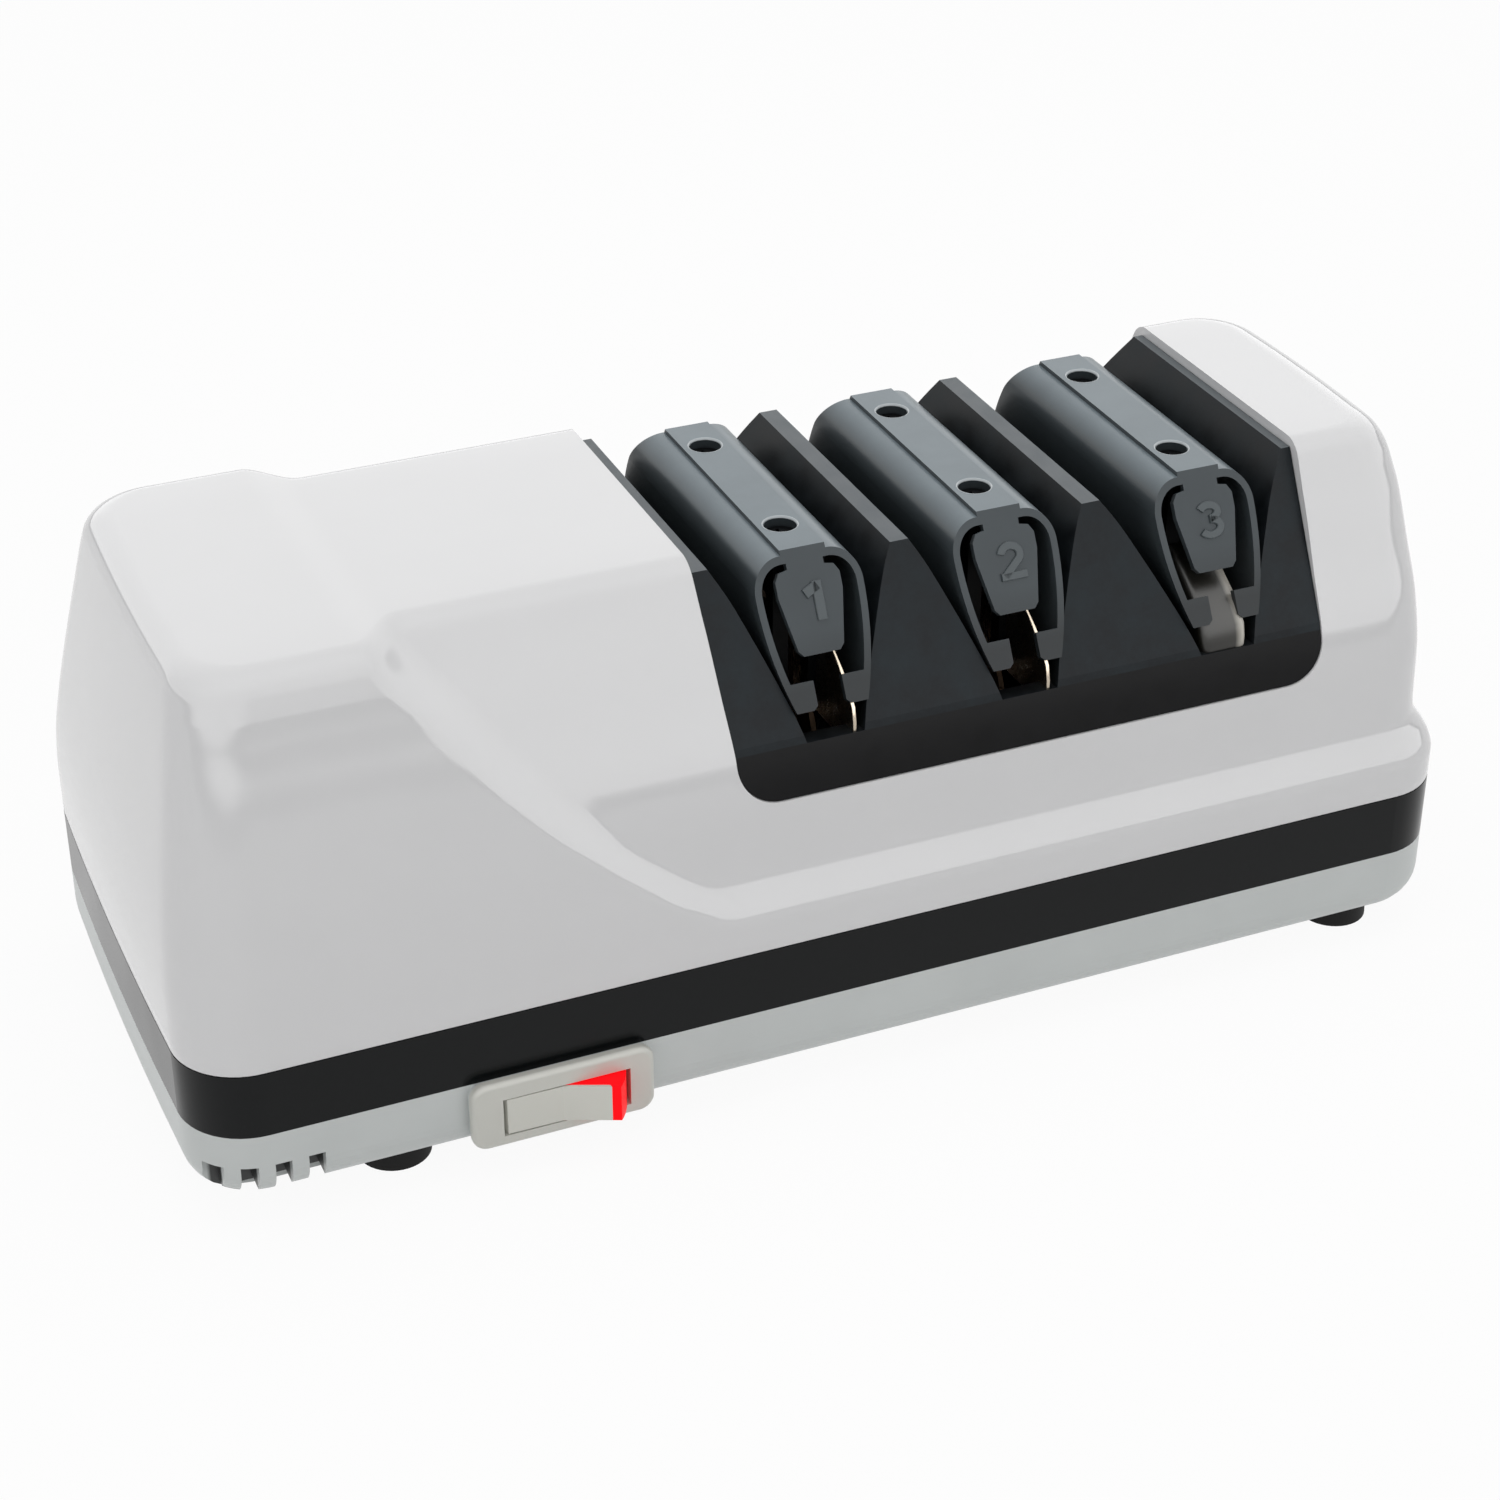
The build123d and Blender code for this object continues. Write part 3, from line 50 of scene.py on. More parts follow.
def shader(tree, kind, inputs=None, **settings):
    """Adds one node, sets its properties, and fills or links its inputs."""
    made = tree.nodes.new("ShaderNode" + kind)
    for name, value in settings.items():
        setattr(made, name, value)
    for name, value in (inputs or {}).items():
        socket = made.inputs[name]
        if isinstance(value, bpy.types.NodeSocket):
            tree.links.new(value, socket)
        else:
            socket.default_value = value
    return made


def new_material(name):
    """An empty material whose output waits for a surface."""
    material = bpy.data.materials.new(name)
    material.use_nodes = True
    tree = material.node_tree
    tree.nodes.clear()
    return material, tree, shader(tree, "OutputMaterial")


# Matt paint mirrors nothing.  Its glow keeps the sweep near white, and what is left of
# the paint takes the soft shadow.
SWEEP_SIZE = 8.0                # metres
GLOW_SHARE = 0.93
white_sweep, tree, out = new_material("painted white sweep")
path = shader(tree, "LightPath")
seen = shader(tree, "Math", {0: path.outputs["Is Camera Ray"], 1: path.outputs["Is Glossy Ray"]},
              operation="MAXIMUM")
coat = shader(tree, "BsdfDiffuse", {"Color": linear("#f2f2f2"), "Roughness": 0.5})
glow = shader(tree, "Emission", {"Color": linear("#ffffff"), "Strength": 1.0})
shade = shader(tree, "MixShader", {0: GLOW_SHARE, 1: coat.outputs[0], 2: glow.outputs[0]})
shown = shader(tree, "MixShader", {0: seen.outputs[0], 1: coat.outputs[0], 2: shade.outputs[0]})
# Seen from below the sweep is clear, so that the underside can be looked at.
facing = shader(tree, "NewGeometry")
clear = shader(tree, "BsdfTransparent")
surface = shader(tree, "MixShader", {0: facing.outputs["Backfacing"], 1: shown.outputs[0],
                                     2: clear.outputs[0]})
tree.links.new(surface.outputs[0], out.inputs["Surface"])
bpy.ops.mesh.primitive_plane_add(size=SWEEP_SIZE, location=(0, 0, 0))
sweep = bpy.context.object
sweep.name = "white_sweep"
sweep.data.materials.append(white_sweep)

# Gloss mirrors a large bright ceiling that comes down almost to the horizon and is
# brightest in front.
CEILING_EDGE = (0.03, 0.07)     # upward part of the direction where it starts and is full
CEILING_BACK, CEILING_FRONT = 2.2, 3.2
HORIZON, ROOM, BACKDROP = 0.35, 0.5, 0.97
world = bpy.data.worlds.new("soft room")
bpy.context.scene.world = world
world.use_nodes = True
tree = world.node_tree
tree.nodes.clear()
ray = shader(tree, "LightPath")
heading = shader(tree, "TexCoord")
axes = shader(tree, "SeparateXYZ", {0: heading.outputs["Generated"]})
edge = shader(tree, "MapRange", {"Value": axes.outputs["Z"], "From Min": CEILING_EDGE[0],
                                 "From Max": CEILING_EDGE[1], "To Min": 0.0, "To Max": 1.0})
front = shader(tree, "MapRange", {"Value": axes.outputs["Y"], "From Min": 0.3, "From Max": -0.5,
                                  "To Min": CEILING_BACK, "To Max": CEILING_FRONT})
ceiling = shader(tree, "Math", {0: edge.outputs["Result"], 1: front.outputs["Result"]},
                 operation="MULTIPLY")
lifted = shader(tree, "Math", {0: ceiling.outputs[0], 1: HORIZON}, operation="MAXIMUM")
room = shader(tree, "Background", {"Color": linear("#ffffff"), "Strength": ROOM})
mirrored = shader(tree, "Background", {"Color": linear("#ffffff"), "Strength": lifted.outputs[0]})
backdrop = shader(tree, "Background", {"Color": linear("#ffffff"), "Strength": BACKDROP})
lit = shader(tree, "MixShader", {0: ray.outputs["Is Glossy Ray"], 1: room.outputs[0],
                                 2: mirrored.outputs[0]})
pick = shader(tree, "MixShader", {0: ray.outputs["Is Camera Ray"], 1: lit.outputs[0],
                                  2: backdrop.outputs[0]})
shader(tree, "OutputWorld", {"Surface": pick.outputs[0]})


def softbox(name, place, target, size, watts):
    """A rectangular area lamp aimed at target, which gloss doesn't mirror."""
    lamp = bpy.data.lights.new(name, "AREA")
    lamp.shape = "RECTANGLE"
    lamp.size, lamp.size_y = size
    lamp.energy = watts
    holder = bpy.data.objects.new(name, lamp)
    bpy.context.scene.collection.objects.link(holder)
    holder.location = place
    holder.rotation_euler = (Vector(target) - Vector(place)).to_track_quat("-Z", "Y").to_euler()
    holder.visible_glossy = False


softbox("top_softbox", (0.05, 0.15, 0.95), target=(0, 0, 0.05), size=(1.1, 0.8), watts=3.2)
softbox("left_softbox", (-0.95, -0.25, 0.45), target=(0, 0, 0.06), size=(0.8, 0.7), watts=1.3)
softbox("front_softbox", (0.25, -1.0, 0.5), target=(0, 0, 0.06), size=(0.8, 0.5), watts=1.6)

CAMERA_PLACE = (-0.20332, -0.47609, 0.35385)
CAMERA_PITCH, CAMERA_YAW = 31.18, 23.08
LENS_MM, SENSOR_MM = 74.64, 36.0
lens = bpy.data.cameras.new("camera")
lens.lens = LENS_MM
lens.sensor_width = SENSOR_MM
camera = bpy.data.objects.new("camera", lens)
bpy.context.scene.collection.objects.link(camera)
camera.location = CAMERA_PLACE
camera.rotation_euler = (math.radians(90 - CAMERA_PITCH), 0, -math.radians(CAMERA_YAW))
bpy.context.scene.camera = camera
bpy.context.scene.view_settings.view_transform = "Standard"


# ---- upper housing ---------------------------------------------------------
# One glossy white ABS moulding, 2.6 mm thick, with a soft slanted step from the
# broad motor end to the slimmer body of the stages.  It drops over the trim
# band's inner lip and is screwed down from below.
MM = 0.001


def moulded(name, colour, roughness, grain_mm, depth_mm, mottle=0.04, specular=0.5):
    """Injection-moulded plastic: fine grain in the surface, slight mottling in the colour.

    The tool's real grain is finer; it is drawn as coarse as it has to be to show."""
    mottle_mm = 18.0
    material, tree, out = new_material(name)
    place = shader(tree, "TexCoord")
    grain = shader(tree, "TexNoise", {"Vector": place.outputs["Object"], "Detail": 3.0,
                                      "Scale": 1 / (grain_mm * MM), "Roughness": 0.5})
    relief = shader(tree, "Bump", {"Strength": 1.0, "Distance": depth_mm * MM,
                                   "Height": grain.outputs["Fac"]})
    cloud = shader(tree, "TexNoise", {"Vector": place.outputs["Object"], "Detail": 2.0,
                                      "Scale": 1 / (mottle_mm * MM)})
    shift = shader(tree, "MapRange", {"Value": cloud.outputs["Fac"], "From Min": 0.35,
                                      "From Max": 0.65, "To Min": 1.0 - mottle, "To Max": 1.0})
    tint = shader(tree, "HueSaturation", {"Color": linear(colour),
                                          "Value": shift.outputs["Result"]})
    polish = shader(tree, "MapRange", {"Value": cloud.outputs["Fac"], "From Min": 0.3,
                                       "From Max": 0.7, "To Min": roughness * 0.92,
                                       "To Max": roughness * 1.08})
    body = shader(tree, "BsdfPrincipled", {"Base Color": tint.outputs["Color"],
                                           "Roughness": polish.outputs["Result"],
                                           "Specular IOR Level": specular,
                                           "Normal": relief.outputs["Normal"]})
    tree.links.new(body.outputs[0], out.inputs["Surface"])
    return material


def dress(material, *names):
    """Gives each named node the material."""
    for name in names:
        slots = nodes[name].data.materials
        slots.clear()
        slots.append(material)


# All sizes are in millimetres, and the heights are from the table.
HALF_X, HALF_Y = 127.0, 54.0
MOTOR_TOP, STAGE_TOP = 103.2, 102.6
WALL = 2.6
BOW = 1.2                       # both ends bulge by this much in their middle
CROWN = 8.4                     # the rounded rim starts this far below the top
# Height, then front, back and end distance inside the overall size, and corner radius.
MOTOR_ROWS = ((33, 0, 0, 0, 13), (42, 0, 0, 0, 13), (50, 0.4, 0.7, 0.3, 13),
              (60, 1.4, 3.8, 1.2, 13), (70, 3.4, 7.2, 2.6, 12.6), (80, 6.0, 10.8, 4.2, 12),
              (90, 9.0, 14.6, 5.9, 11.2))
STAGE_ROWS = ((33, 0, 0, 0, 13), (39, 0, 0, 0, 13), (41, 0.4, 0.5, 0.4, 13),
              (43, 1.4, 1.5, 1.3, 12.7), (45, 2.5, 2.7, 2.5, 12.4), (47, 3.4, 3.7, 3.3, 12.1),
              (50, 3.7, 4.7, 3.6, 12), (60, 4.3, 7.1, 3.6, 12), (70, 6.8, 10.4, 3.6, 12),
              (80, 11.5, 15.0, 3.8, 12), (90, 16.1, 19.7, 4.4, 11.5))
# Top edges at front, back and end: reach at the top plane, rounding radius, lean in degrees.
MOTOR_EDGES = ((41.2, 5.0, 17.0), (35.1, 5.0, 20.0), (118.6, 5.5, 11.0))
STAGE_EDGES = ((31.6, 5.0, 26.0), (28.4, 5.0, 25.0), (120.8, 9.0, 8.0))
# The slanted step: height and place of its middle, half its width, and its run on the top.
STEP_LINE = ((33, -22.0), (45, -31.3), (50, -37.4), (60, -48.9), (70, -58.5), (80, -66.6),
             (90, -74.1), (98, -80.5), (104, -83.5))
STEP_HALF = 5.0
TOP_STEP = (-88.0, -80.0)
# Mesh columns on half an end, a corner, the step and a plain stretch of a side; rows on a lid.
END_STEPS, CORNER_STEPS, STEP_STEPS, SIDE_STEPS, LID_STEPS = 12, 14, 16, 25, 8


def ease(t):
    """Smooth start and stop between 0 and 1."""
    return t * t * (3 - 2 * t)


def smooth_between(rows, z):
    """Values at height z on a curve through the rows that never overshoots them."""
    rows = [tuple(map(float, row)) for row in rows]
    if z <= rows[0][0]:
        return list(rows[0][1:])
    if z >= rows[-1][0]:
        return list(rows[-1][1:])
    at = max(i for i, row in enumerate(rows) if row[0] <= z)
    low, high = rows[at], rows[at + 1]
    span = high[0] - low[0]
    t = (z - low[0]) / span
    values = []
    for k in range(1, len(low)):
        here = before = after = (high[k] - low[k]) / span
        if at:
            before = (low[k] - rows[at - 1][k]) / (low[0] - rows[at - 1][0])
        if at + 2 < len(rows):
            after = (rows[at + 2][k] - high[k]) / (rows[at + 2][0] - high[0])
        slope_low, slope_high = (0.0 if beside * here <= 0 else 2 * beside * here / (beside + here)
                                 for beside in (before, after))
        values.append((1 + 2 * t) * (1 - t) ** 2 * low[k] + t * (1 - t) ** 2 * span * slope_low
                      + t * t * (3 - 2 * t) * high[k] + t * t * (t - 1) * span * slope_high)
    return values


def rim_reach(edge, drop):
    """Reach of a leaning wall with a rounded top edge, at this drop below the top."""
    side, round_r, lean = edge
    lean = math.radians(lean)
    if drop > round_r * (1 - math.sin(lean)):
        return side + drop * math.tan(lean)
    centre = round_r / math.cos(lean) - round_r * math.tan(lean)
    return side - centre + math.sqrt(max(0.0, round_r ** 2 - (round_r - drop) ** 2))


def end_sizes(rows, top, edges, z):
    """Front, back and end reach and corner radius of one end of the shell at height z."""
    crown_z = top - CROWN
    if z >= crown_z:
        front, back, end = (rim_reach(edge, top - z) for edge in edges)
        return front, back, end, rows[-1][4] - 0.5 * max(0.0, edges[2][0] - end)
    crown = [rim_reach(edge, CROWN) for edge in edges]
    above = (crown_z, HALF_Y - crown[0], HALF_Y - crown[1], HALF_X - crown[2], rows[-1][4])
    front, back, end, radius = smooth_between(rows + (above,), z)
    return HALF_Y - front, HALF_Y - back, HALF_X - end, radius


def half_ring(side, z_motor, z_stage, inset):
    """Points along one long side, from the middle of the motor end to that of the other end."""
    motor = [size - inset for size in end_sizes(MOTOR_ROWS, MOTOR_TOP, MOTOR_EDGES, z_motor)]
    stages = [size - inset for size in end_sizes(STAGE_ROWS, STAGE_TOP, STAGE_EDGES, z_stage)]
    ends = []
    for (front, back, end, radius), hand in ((motor, -1), (stages, 1)):
        middle = (back - front) / 2
        bulge = BOW / ((front + back) / 2) ** 2
        corner_y = side * ((front if side < 0 else back) - radius)
        y = corner_y
        for _ in range(4):      # closes in on where the bowed end meets the round corner
            slope = 2 * bulge * (y - middle)
            length = math.hypot(1.0, slope)
            y = corner_y + radius * slope / length
        corner_x = end - bulge * (y - middle) ** 2 - radius / length
        aside = [(y - middle) * i / END_STEPS for i in range(END_STEPS)]
        start = math.atan2(slope, 1.0)
        turns = [start + (side * math.pi / 2 - start) * i / CORNER_STEPS
                 for i in range(CORNER_STEPS + 1)]
        run = [(hand * (end - bulge * off ** 2), middle + off) for off in aside]
        run += [(hand * (corner_x + radius * math.cos(turn)), corner_y + radius * math.sin(turn))
                for turn in turns]
        ends.append(run if hand < 0 else run[::-1])
    motor_y, stage_y = (side * (sizes[0] if side < 0 else sizes[1]) for sizes in (motor, stages))
    step = smooth_between(STEP_LINE, z_motor)[0]
    x0, x1 = step - STEP_HALF, step + STEP_HALF
    left, right = ends[0][-1][0], ends[1][0][0]
    flat = [(left + (x0 - left) * i / SIDE_STEPS, motor_y) for i in range(1, SIDE_STEPS)]
    flat += [(x0 + (x1 - x0) * i / STEP_STEPS, motor_y + (stage_y - motor_y) * ease(i / STEP_STEPS))
             for i in range(STEP_STEPS + 1)]
    flat += [(x1 + (right - x1) * i / (2 * SIDE_STEPS), stage_y) for i in range(1, 2 * SIDE_STEPS)]
    return ends[0] + flat + ends[1]


def placed(name, mesh, smooth=False):
    """Turns a finished bmesh into an object of the scene."""
    data = bpy.data.meshes.new(name)
    mesh.to_mesh(data)
    mesh.free()
    for face in data.polygons:
        face.use_smooth = smooth
    piece = bpy.data.objects.new(name, data)
    bpy.context.scene.collection.objects.link(piece)
    return piece


def top_blend(x):
    """0 on the motor end and 1 on the lower stage end, soft across the step."""
    return ease(min(1.0, max(0.0, (x - TOP_STEP[0]) / (TOP_STEP[1] - TOP_STEP[0]))))


def shell_body(name, levels, inset):
    """Closed mesh through outlines at levels, each (motor height, stage height, extra inset)."""
    mesh = bmesh.new()
    rings = []
    for z_motor, z_stage, extra in levels:
        front, back = ([(x, y, z_motor + (z_stage - z_motor) * top_blend(x))
                        for x, y in half_ring(side, z_motor, z_stage, inset + extra)]
                       for side in (-1, 1))
        front = [mesh.verts.new(Vector(point) * MM) for point in front]
        back = [mesh.verts.new(Vector(point) * MM) for point in back[1:-1]]
        rings.append(front + back[::-1])
    count, around = len(front), len(rings[0])
    for low, high in zip(rings, rings[1:]):
        for i in range(around):
            j = (i + 1) % around
            mesh.faces.new((low[i], low[j], high[j], high[i]))
    for ring, flip in ((rings[0], True), (rings[-1], False)):
        front, back = ring[:count], [ring[0]] + ring[count:][::-1] + [ring[count - 1]]
        rows = [front]
        for k in range(1, LID_STEPS):
            rows.append([mesh.verts.new(f.co.lerp(b.co, k / LID_STEPS)) if 0 < i < count - 1 else f
                         for i, (f, b) in enumerate(zip(front, back))])
        rows.append(back)
        for one, two in zip(rows, rows[1:]):
            for i in range(count - 1):
                corners = []
                for vert in (one[i], one[i + 1], two[i + 1], two[i]):
                    if vert not in corners:
                        corners.append(vert)
                if len(corners) > 2:
                    mesh.faces.new(corners[::-1] if flip else corners)
    bmesh.ops.recalc_face_normals(mesh, faces=mesh.faces)
    return placed(name, mesh)


def prism(outline, start, end, axis):
    """Closed bmesh prism along axis (0 is X, 1 is Y) from points of the other two coordinates."""
    mesh = bmesh.new()
    ends = [[mesh.verts.new(Vector(point[:axis] + (level,) + point[axis:]) * MM)
             for point in outline] for level in (start, end)]
    for i in range(len(outline)):
        j = (i + 1) % len(outline)
        mesh.faces.new((ends[0][i], ends[0][j], ends[1][j], ends[1][i]))
    for lid in ends:
        mesh.faces.new(lid)
    bmesh.ops.recalc_face_normals(mesh, faces=mesh.faces)
    return mesh


def cut(target, *cutters):
    """Takes the cutters out of target for good and deletes them."""
    for cutter in cutters:
        knife = target.modifiers.new("cut", "BOOLEAN")
        knife.operation = "DIFFERENCE"
        knife.solver = "EXACT"
        knife.object = cutter
    evaluated = target.evaluated_get(bpy.context.evaluated_depsgraph_get())
    result = bpy.data.meshes.new_from_object(evaluated)
    target.modifiers.clear()
    target.data = result
    for cutter in cutters:
        bpy.data.objects.remove(cutter)


# Rings of the outside: a small chamfer at the lower edge, the flanks, and the rounded rim.
# Above LEVEL_Z the stage end's rings sink little by little to its lower top.
LEVEL_Z = 50.0
flank = ([33.4, 35.5, 38.0] + [39.0 + 0.5 * i for i in range(24)]
         + [51.5 + 2.0 * i for i in range(21)])
drops = ([CROWN * (1 - i / 12) for i in range(9)]
         + [2.3, 1.8, 1.35, 1.0, 0.7, 0.45, 0.25, 0.1, 0.03, 0.0])
outer_levels = [(33.0, 33.0, 0.4), (33.12, 33.12, 0.12)]
for z in flank:
    sunk = max(0.0, (z - LEVEL_Z) / (MOTOR_TOP - CROWN - LEVEL_Z))
    outer_levels.append((z, z - (MOTOR_TOP - STAGE_TOP) * sunk, 0.0))
outer_levels += [(MOTOR_TOP - drop, STAGE_TOP - drop, 0.0) for drop in drops]
housing = shell_body("housing_shell", outer_levels, 0.0)
inner_levels = [(z, z, 0.0) for z in (32.0, 39.0, 42.0, 45.0, 48.0, 51.0, 60.0, 70.0, 80.0, 90.0)]
inner_levels += [(STAGE_TOP - WALL, STAGE_TOP - WALL, 0.0)]
cavity = shell_body("cavity", inner_levels, WALL)
# Opening for the stages: each side edge at the floor and at the top, and the bend between.
OPENING_LEFT, OPENING_RIGHT = (-23.2, -26.4), (96.4, 97.0)
OPENING_FLOOR, OPENING_BEND, CORNER = 61.0, 70.3, 8.0
CUT_TOP, CUT_SIDE = 115.2, 70   # the cutter stands out of the housing up to here
turns = [math.radians(90 * i / 10) for i in range(11)]
corner_left = [(OPENING_LEFT[0] + CORNER * (1 - math.cos(turn)),
                OPENING_FLOOR + CORNER * (1 - math.sin(turn))) for turn in turns]
corner_right = [(OPENING_RIGHT[0] - CORNER * (1 - math.cos(turn)),
                 OPENING_FLOOR + CORNER * (1 - math.sin(turn))) for turn in reversed(turns)]
opening_line = ([(OPENING_LEFT[1], CUT_TOP), (OPENING_LEFT[0], OPENING_BEND)] + corner_left
                + corner_right + [(OPENING_RIGHT[0], OPENING_BEND), (OPENING_RIGHT[1], CUT_TOP)])
opening = placed("opening", prism(opening_line, -CUT_SIDE, CUT_SIDE, axis=1))
# Slot in the rear wall that the dressing lever reaches through.
SLOT_X, SLOT_Y, SLOT_Z = (65.2, 87.2), (38, 66), (35.5, 48.5)
slot_line = [(SLOT_X[0], SLOT_Z[0]), (SLOT_X[1], SLOT_Z[0]),
             (SLOT_X[1], SLOT_Z[1]), (SLOT_X[0], SLOT_Z[1])]
lever_slot = placed("lever_slot", prism(slot_line, *SLOT_Y, axis=1))
cut(housing, cavity, opening, lever_slot)
SHARP_ANGLE = 32                # degrees; only the cut edges are sharper
housing.data.set_sharp_from_angle(angle=math.radians(SHARP_ANGLE))
for face in housing.data.polygons:
    face.use_smooth = True
# A polished tool leaves a faint waviness and no grain: a clear, even sheen.
gloss_white_abs = moulded("gloss white ABS", "#d9d9da", 0.08, grain_mm=4.0, depth_mm=0.003,
                          mottle=0.01)
housing.data.materials.append(gloss_white_abs)
dress(gloss_white_abs, "upper_housing")
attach(housing, "housing")
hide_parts("upper_housing")


# ---- trim band -------------------------------------------------------------
# Charcoal ABS strip pressed round the joint between housing and base.
# A finely spark-eroded tool gives it a soft, broad, weak sheen.
dress(moulded("satin charcoal ABS", "#0b0d0e", 0.2, grain_mm=0.25, depth_mm=0.002, specular=0.17),
      "trim_band")


# ---- base, clean-out cover, dressing lever ---------------------------------
# Pale grey ABS with a fine matt grain that scatters the light evenly, with
# painted shade, a dark grey, inside the walls where little light reaches.  The
# cover snaps into the floor, and the lever turns on a pin behind the rear wall.
BASE_CORNER = 13.0
SKIN_DEPTH = (2.6, 2.0)         # below the outer face: all inside colour, all outside colour
UNDERSIDE_Z = 5.8               # what lies below this height has the outside colour too


def paint_shade_inside(material, colour):
    """Paints shade, in another, darker colour, on the faces behind the wall and above the floor."""
    tree = material.node_tree
    body = next(node for node in tree.nodes if node.type == "BSDF_PRINCIPLED")
    outside_colour = body.inputs["Base Color"].links[0].from_socket
    place = shader(tree, "TexCoord")
    # Distance out from the corners' centres; the metre taken off the height leaves it out.
    corner_centre = ((HALF_X - BASE_CORNER) * MM, (HALF_Y - BASE_CORNER) * MM, 1.0)
    out_from_middle = shader(tree, "VectorMath", {0: place.outputs["Object"]}, operation="ABSOLUTE")
    past_corner = shader(tree, "VectorMath", {0: out_from_middle.outputs[0], 1: corner_centre},
                         operation="SUBTRACT")
    clipped = shader(tree, "VectorMath", {0: past_corner.outputs[0], 1: (0.0, 0.0, 0.0)},
                     operation="MAXIMUM")
    away = shader(tree, "VectorMath", {0: clipped.outputs[0]}, operation="LENGTH")
    skin = shader(tree, "MapRange", {"Value": away.outputs["Value"], "To Min": 0.0, "To Max": 1.0,
                                     "From Min": (BASE_CORNER - SKIN_DEPTH[0]) * MM,
                                     "From Max": (BASE_CORNER - SKIN_DEPTH[1]) * MM})
    height = shader(tree, "SeparateXYZ", {0: place.outputs["Object"]})
    underside = shader(tree, "Math", {0: height.outputs["Z"], 1: UNDERSIDE_Z * MM},
                       operation="LESS_THAN")
    outer = shader(tree, "Math", {0: skin.outputs["Result"], 1: underside.outputs[0]},
                   operation="MAXIMUM")
    both = shader(tree, "MixRGB", {0: outer.outputs[0], 1: linear(colour), 2: outside_colour})
    tree.links.new(both.outputs[0], body.inputs["Base Color"])


pale_grey_abs = moulded("matt pale grey ABS", "#c9cdcc", 0.4, grain_mm=0.3, depth_mm=0.006)
# Painted shade: the inside of the walls is painted dark grey, where little light reaches.
paint_shade_inside(pale_grey_abs, "#2c2e2e")
dress(pale_grey_abs, "base", "clean_out_cover", "dressing_lever")


# ---- feet and cord grommet -------------------------------------------------
# Black rubber, moulded in a blasted tool: dull, with hardly any sheen.  The feet
# are screwed to the floor, and the grommet is snapped into the rear wall.
dress(moulded("dull black rubber", "#090909", 0.7, grain_mm=0.5, depth_mm=0.02, specular=0.2),
      "feet", "cord_grommet")


# ---- stage insert ----------------------------------------------------------
# Dark frame with dividers, moulded in glass-filled nylon and set into the
# housing's opening from below.  Glass fibres cloud the leaning faces, and the
# strip below the opening's bend stays plain near-black.
STAGES = (-3.8, 34.9, 76.2)     # the middle of each stage
BEND_SOFT = 0.1                 # half the height over which strip and clouds meet
cloudy_nylon, tree, out = new_material("cloudy glass-filled nylon")
place = shader(tree, "TexCoord")
position = shader(tree, "SeparateXYZ", {0: place.outputs["Object"]})
above = shader(tree, "MapRange", {"Value": position.outputs["Z"], "To Min": 0.0, "To Max": 1.0,
                                  "From Min": (OPENING_BEND - BEND_SOFT) * MM,
                                  "From Max": (OPENING_BEND + BEND_SOFT) * MM})
CLOUD_MM = 7.0
cloud = shader(tree, "TexNoise", {"Vector": place.outputs["Object"], "Scale": 1 / (CLOUD_MM * MM),
                                  "Detail": 6.0, "Roughness": 0.6})
patch = shader(tree, "ValToRGB", {"Fac": cloud.outputs["Fac"]})
for stop, (at, colour) in enumerate(((0.35, "#101316"), (0.68, "#1f2427"))):
    patch.color_ramp.elements[stop].position = at
    patch.color_ramp.elements[stop].color = linear(colour)
# Behind the front face, which leans back 0.47 mm per mm of height, the light fades,
# and most of all near a stage's middle, down in its channel.
FACE_LEAN, FACE_DEPTH, FADED_DEPTH = 0.47, -79.2, -76.5
CHANNEL_HALF, BESIDE_CHANNEL = 7.5, 9.5
CHANNEL_LOSS, BESIDE_LOSS = -0.85, -0.35
lean = shader(tree, "Math", {0: position.outputs["Z"], 1: -FACE_LEAN, 2: position.outputs["Y"]},
              operation="MULTIPLY_ADD")
deep = shader(tree, "MapRange", {"Value": lean.outputs[0], "From Min": FACE_DEPTH * MM,
                                 "From Max": FADED_DEPTH * MM, "To Min": 0.0, "To Max": 1.0})
nearest = None
for x in STAGES:
    off = shader(tree, "Math", {0: position.outputs["X"], 1: -x * MM}, operation="ADD")
    off = shader(tree, "Math", {0: off.outputs[0]}, operation="ABSOLUTE")
    if nearest is not None:
        off = shader(tree, "Math", {0: nearest.outputs[0], 1: off.outputs[0]}, operation="MINIMUM")
    nearest = off
fade = shader(tree, "MapRange", {"Value": nearest.outputs[0], "From Min": CHANNEL_HALF * MM,
                                 "From Max": BESIDE_CHANNEL * MM,
                                 "To Min": CHANNEL_LOSS, "To Max": BESIDE_LOSS})
shade = shader(tree, "Math", {0: deep.outputs["Result"], 1: fade.outputs["Result"], 2: 1.0},
               operation="MULTIPLY_ADD")
dimmed = shader(tree, "HueSaturation", {"Color": patch.outputs["Color"], "Value": shade.outputs[0]})
tone = shader(tree, "MixRGB", {0: above.outputs["Result"], 1: linear("#0b0b0c"),
                               2: dimmed.outputs["Color"]})
# The flat tops of the dividers are painted paler, a painted highlight where they face the bright
# ceiling.
LEVEL_NORMAL, TOPS_Z = 0.95, 93.0
facing = shader(tree, "NewGeometry")
upright = shader(tree, "SeparateXYZ", {0: facing.outputs["Normal"]})
flat_top = shader(tree, "Math", {0: upright.outputs["Z"], 1: LEVEL_NORMAL},
                  operation="GREATER_THAN")
high_up = shader(tree, "Math", {0: position.outputs["Z"], 1: TOPS_Z * MM},
                 operation="GREATER_THAN")
top_face = shader(tree, "Math", {0: flat_top.outputs[0], 1: high_up.outputs[0]},
                  operation="MULTIPLY")
tone_with_top_highlight = shader(tree, "MixRGB", {0: top_face.outputs[0], 1: tone.outputs[0],
                                   2: linear("#5c6164")})
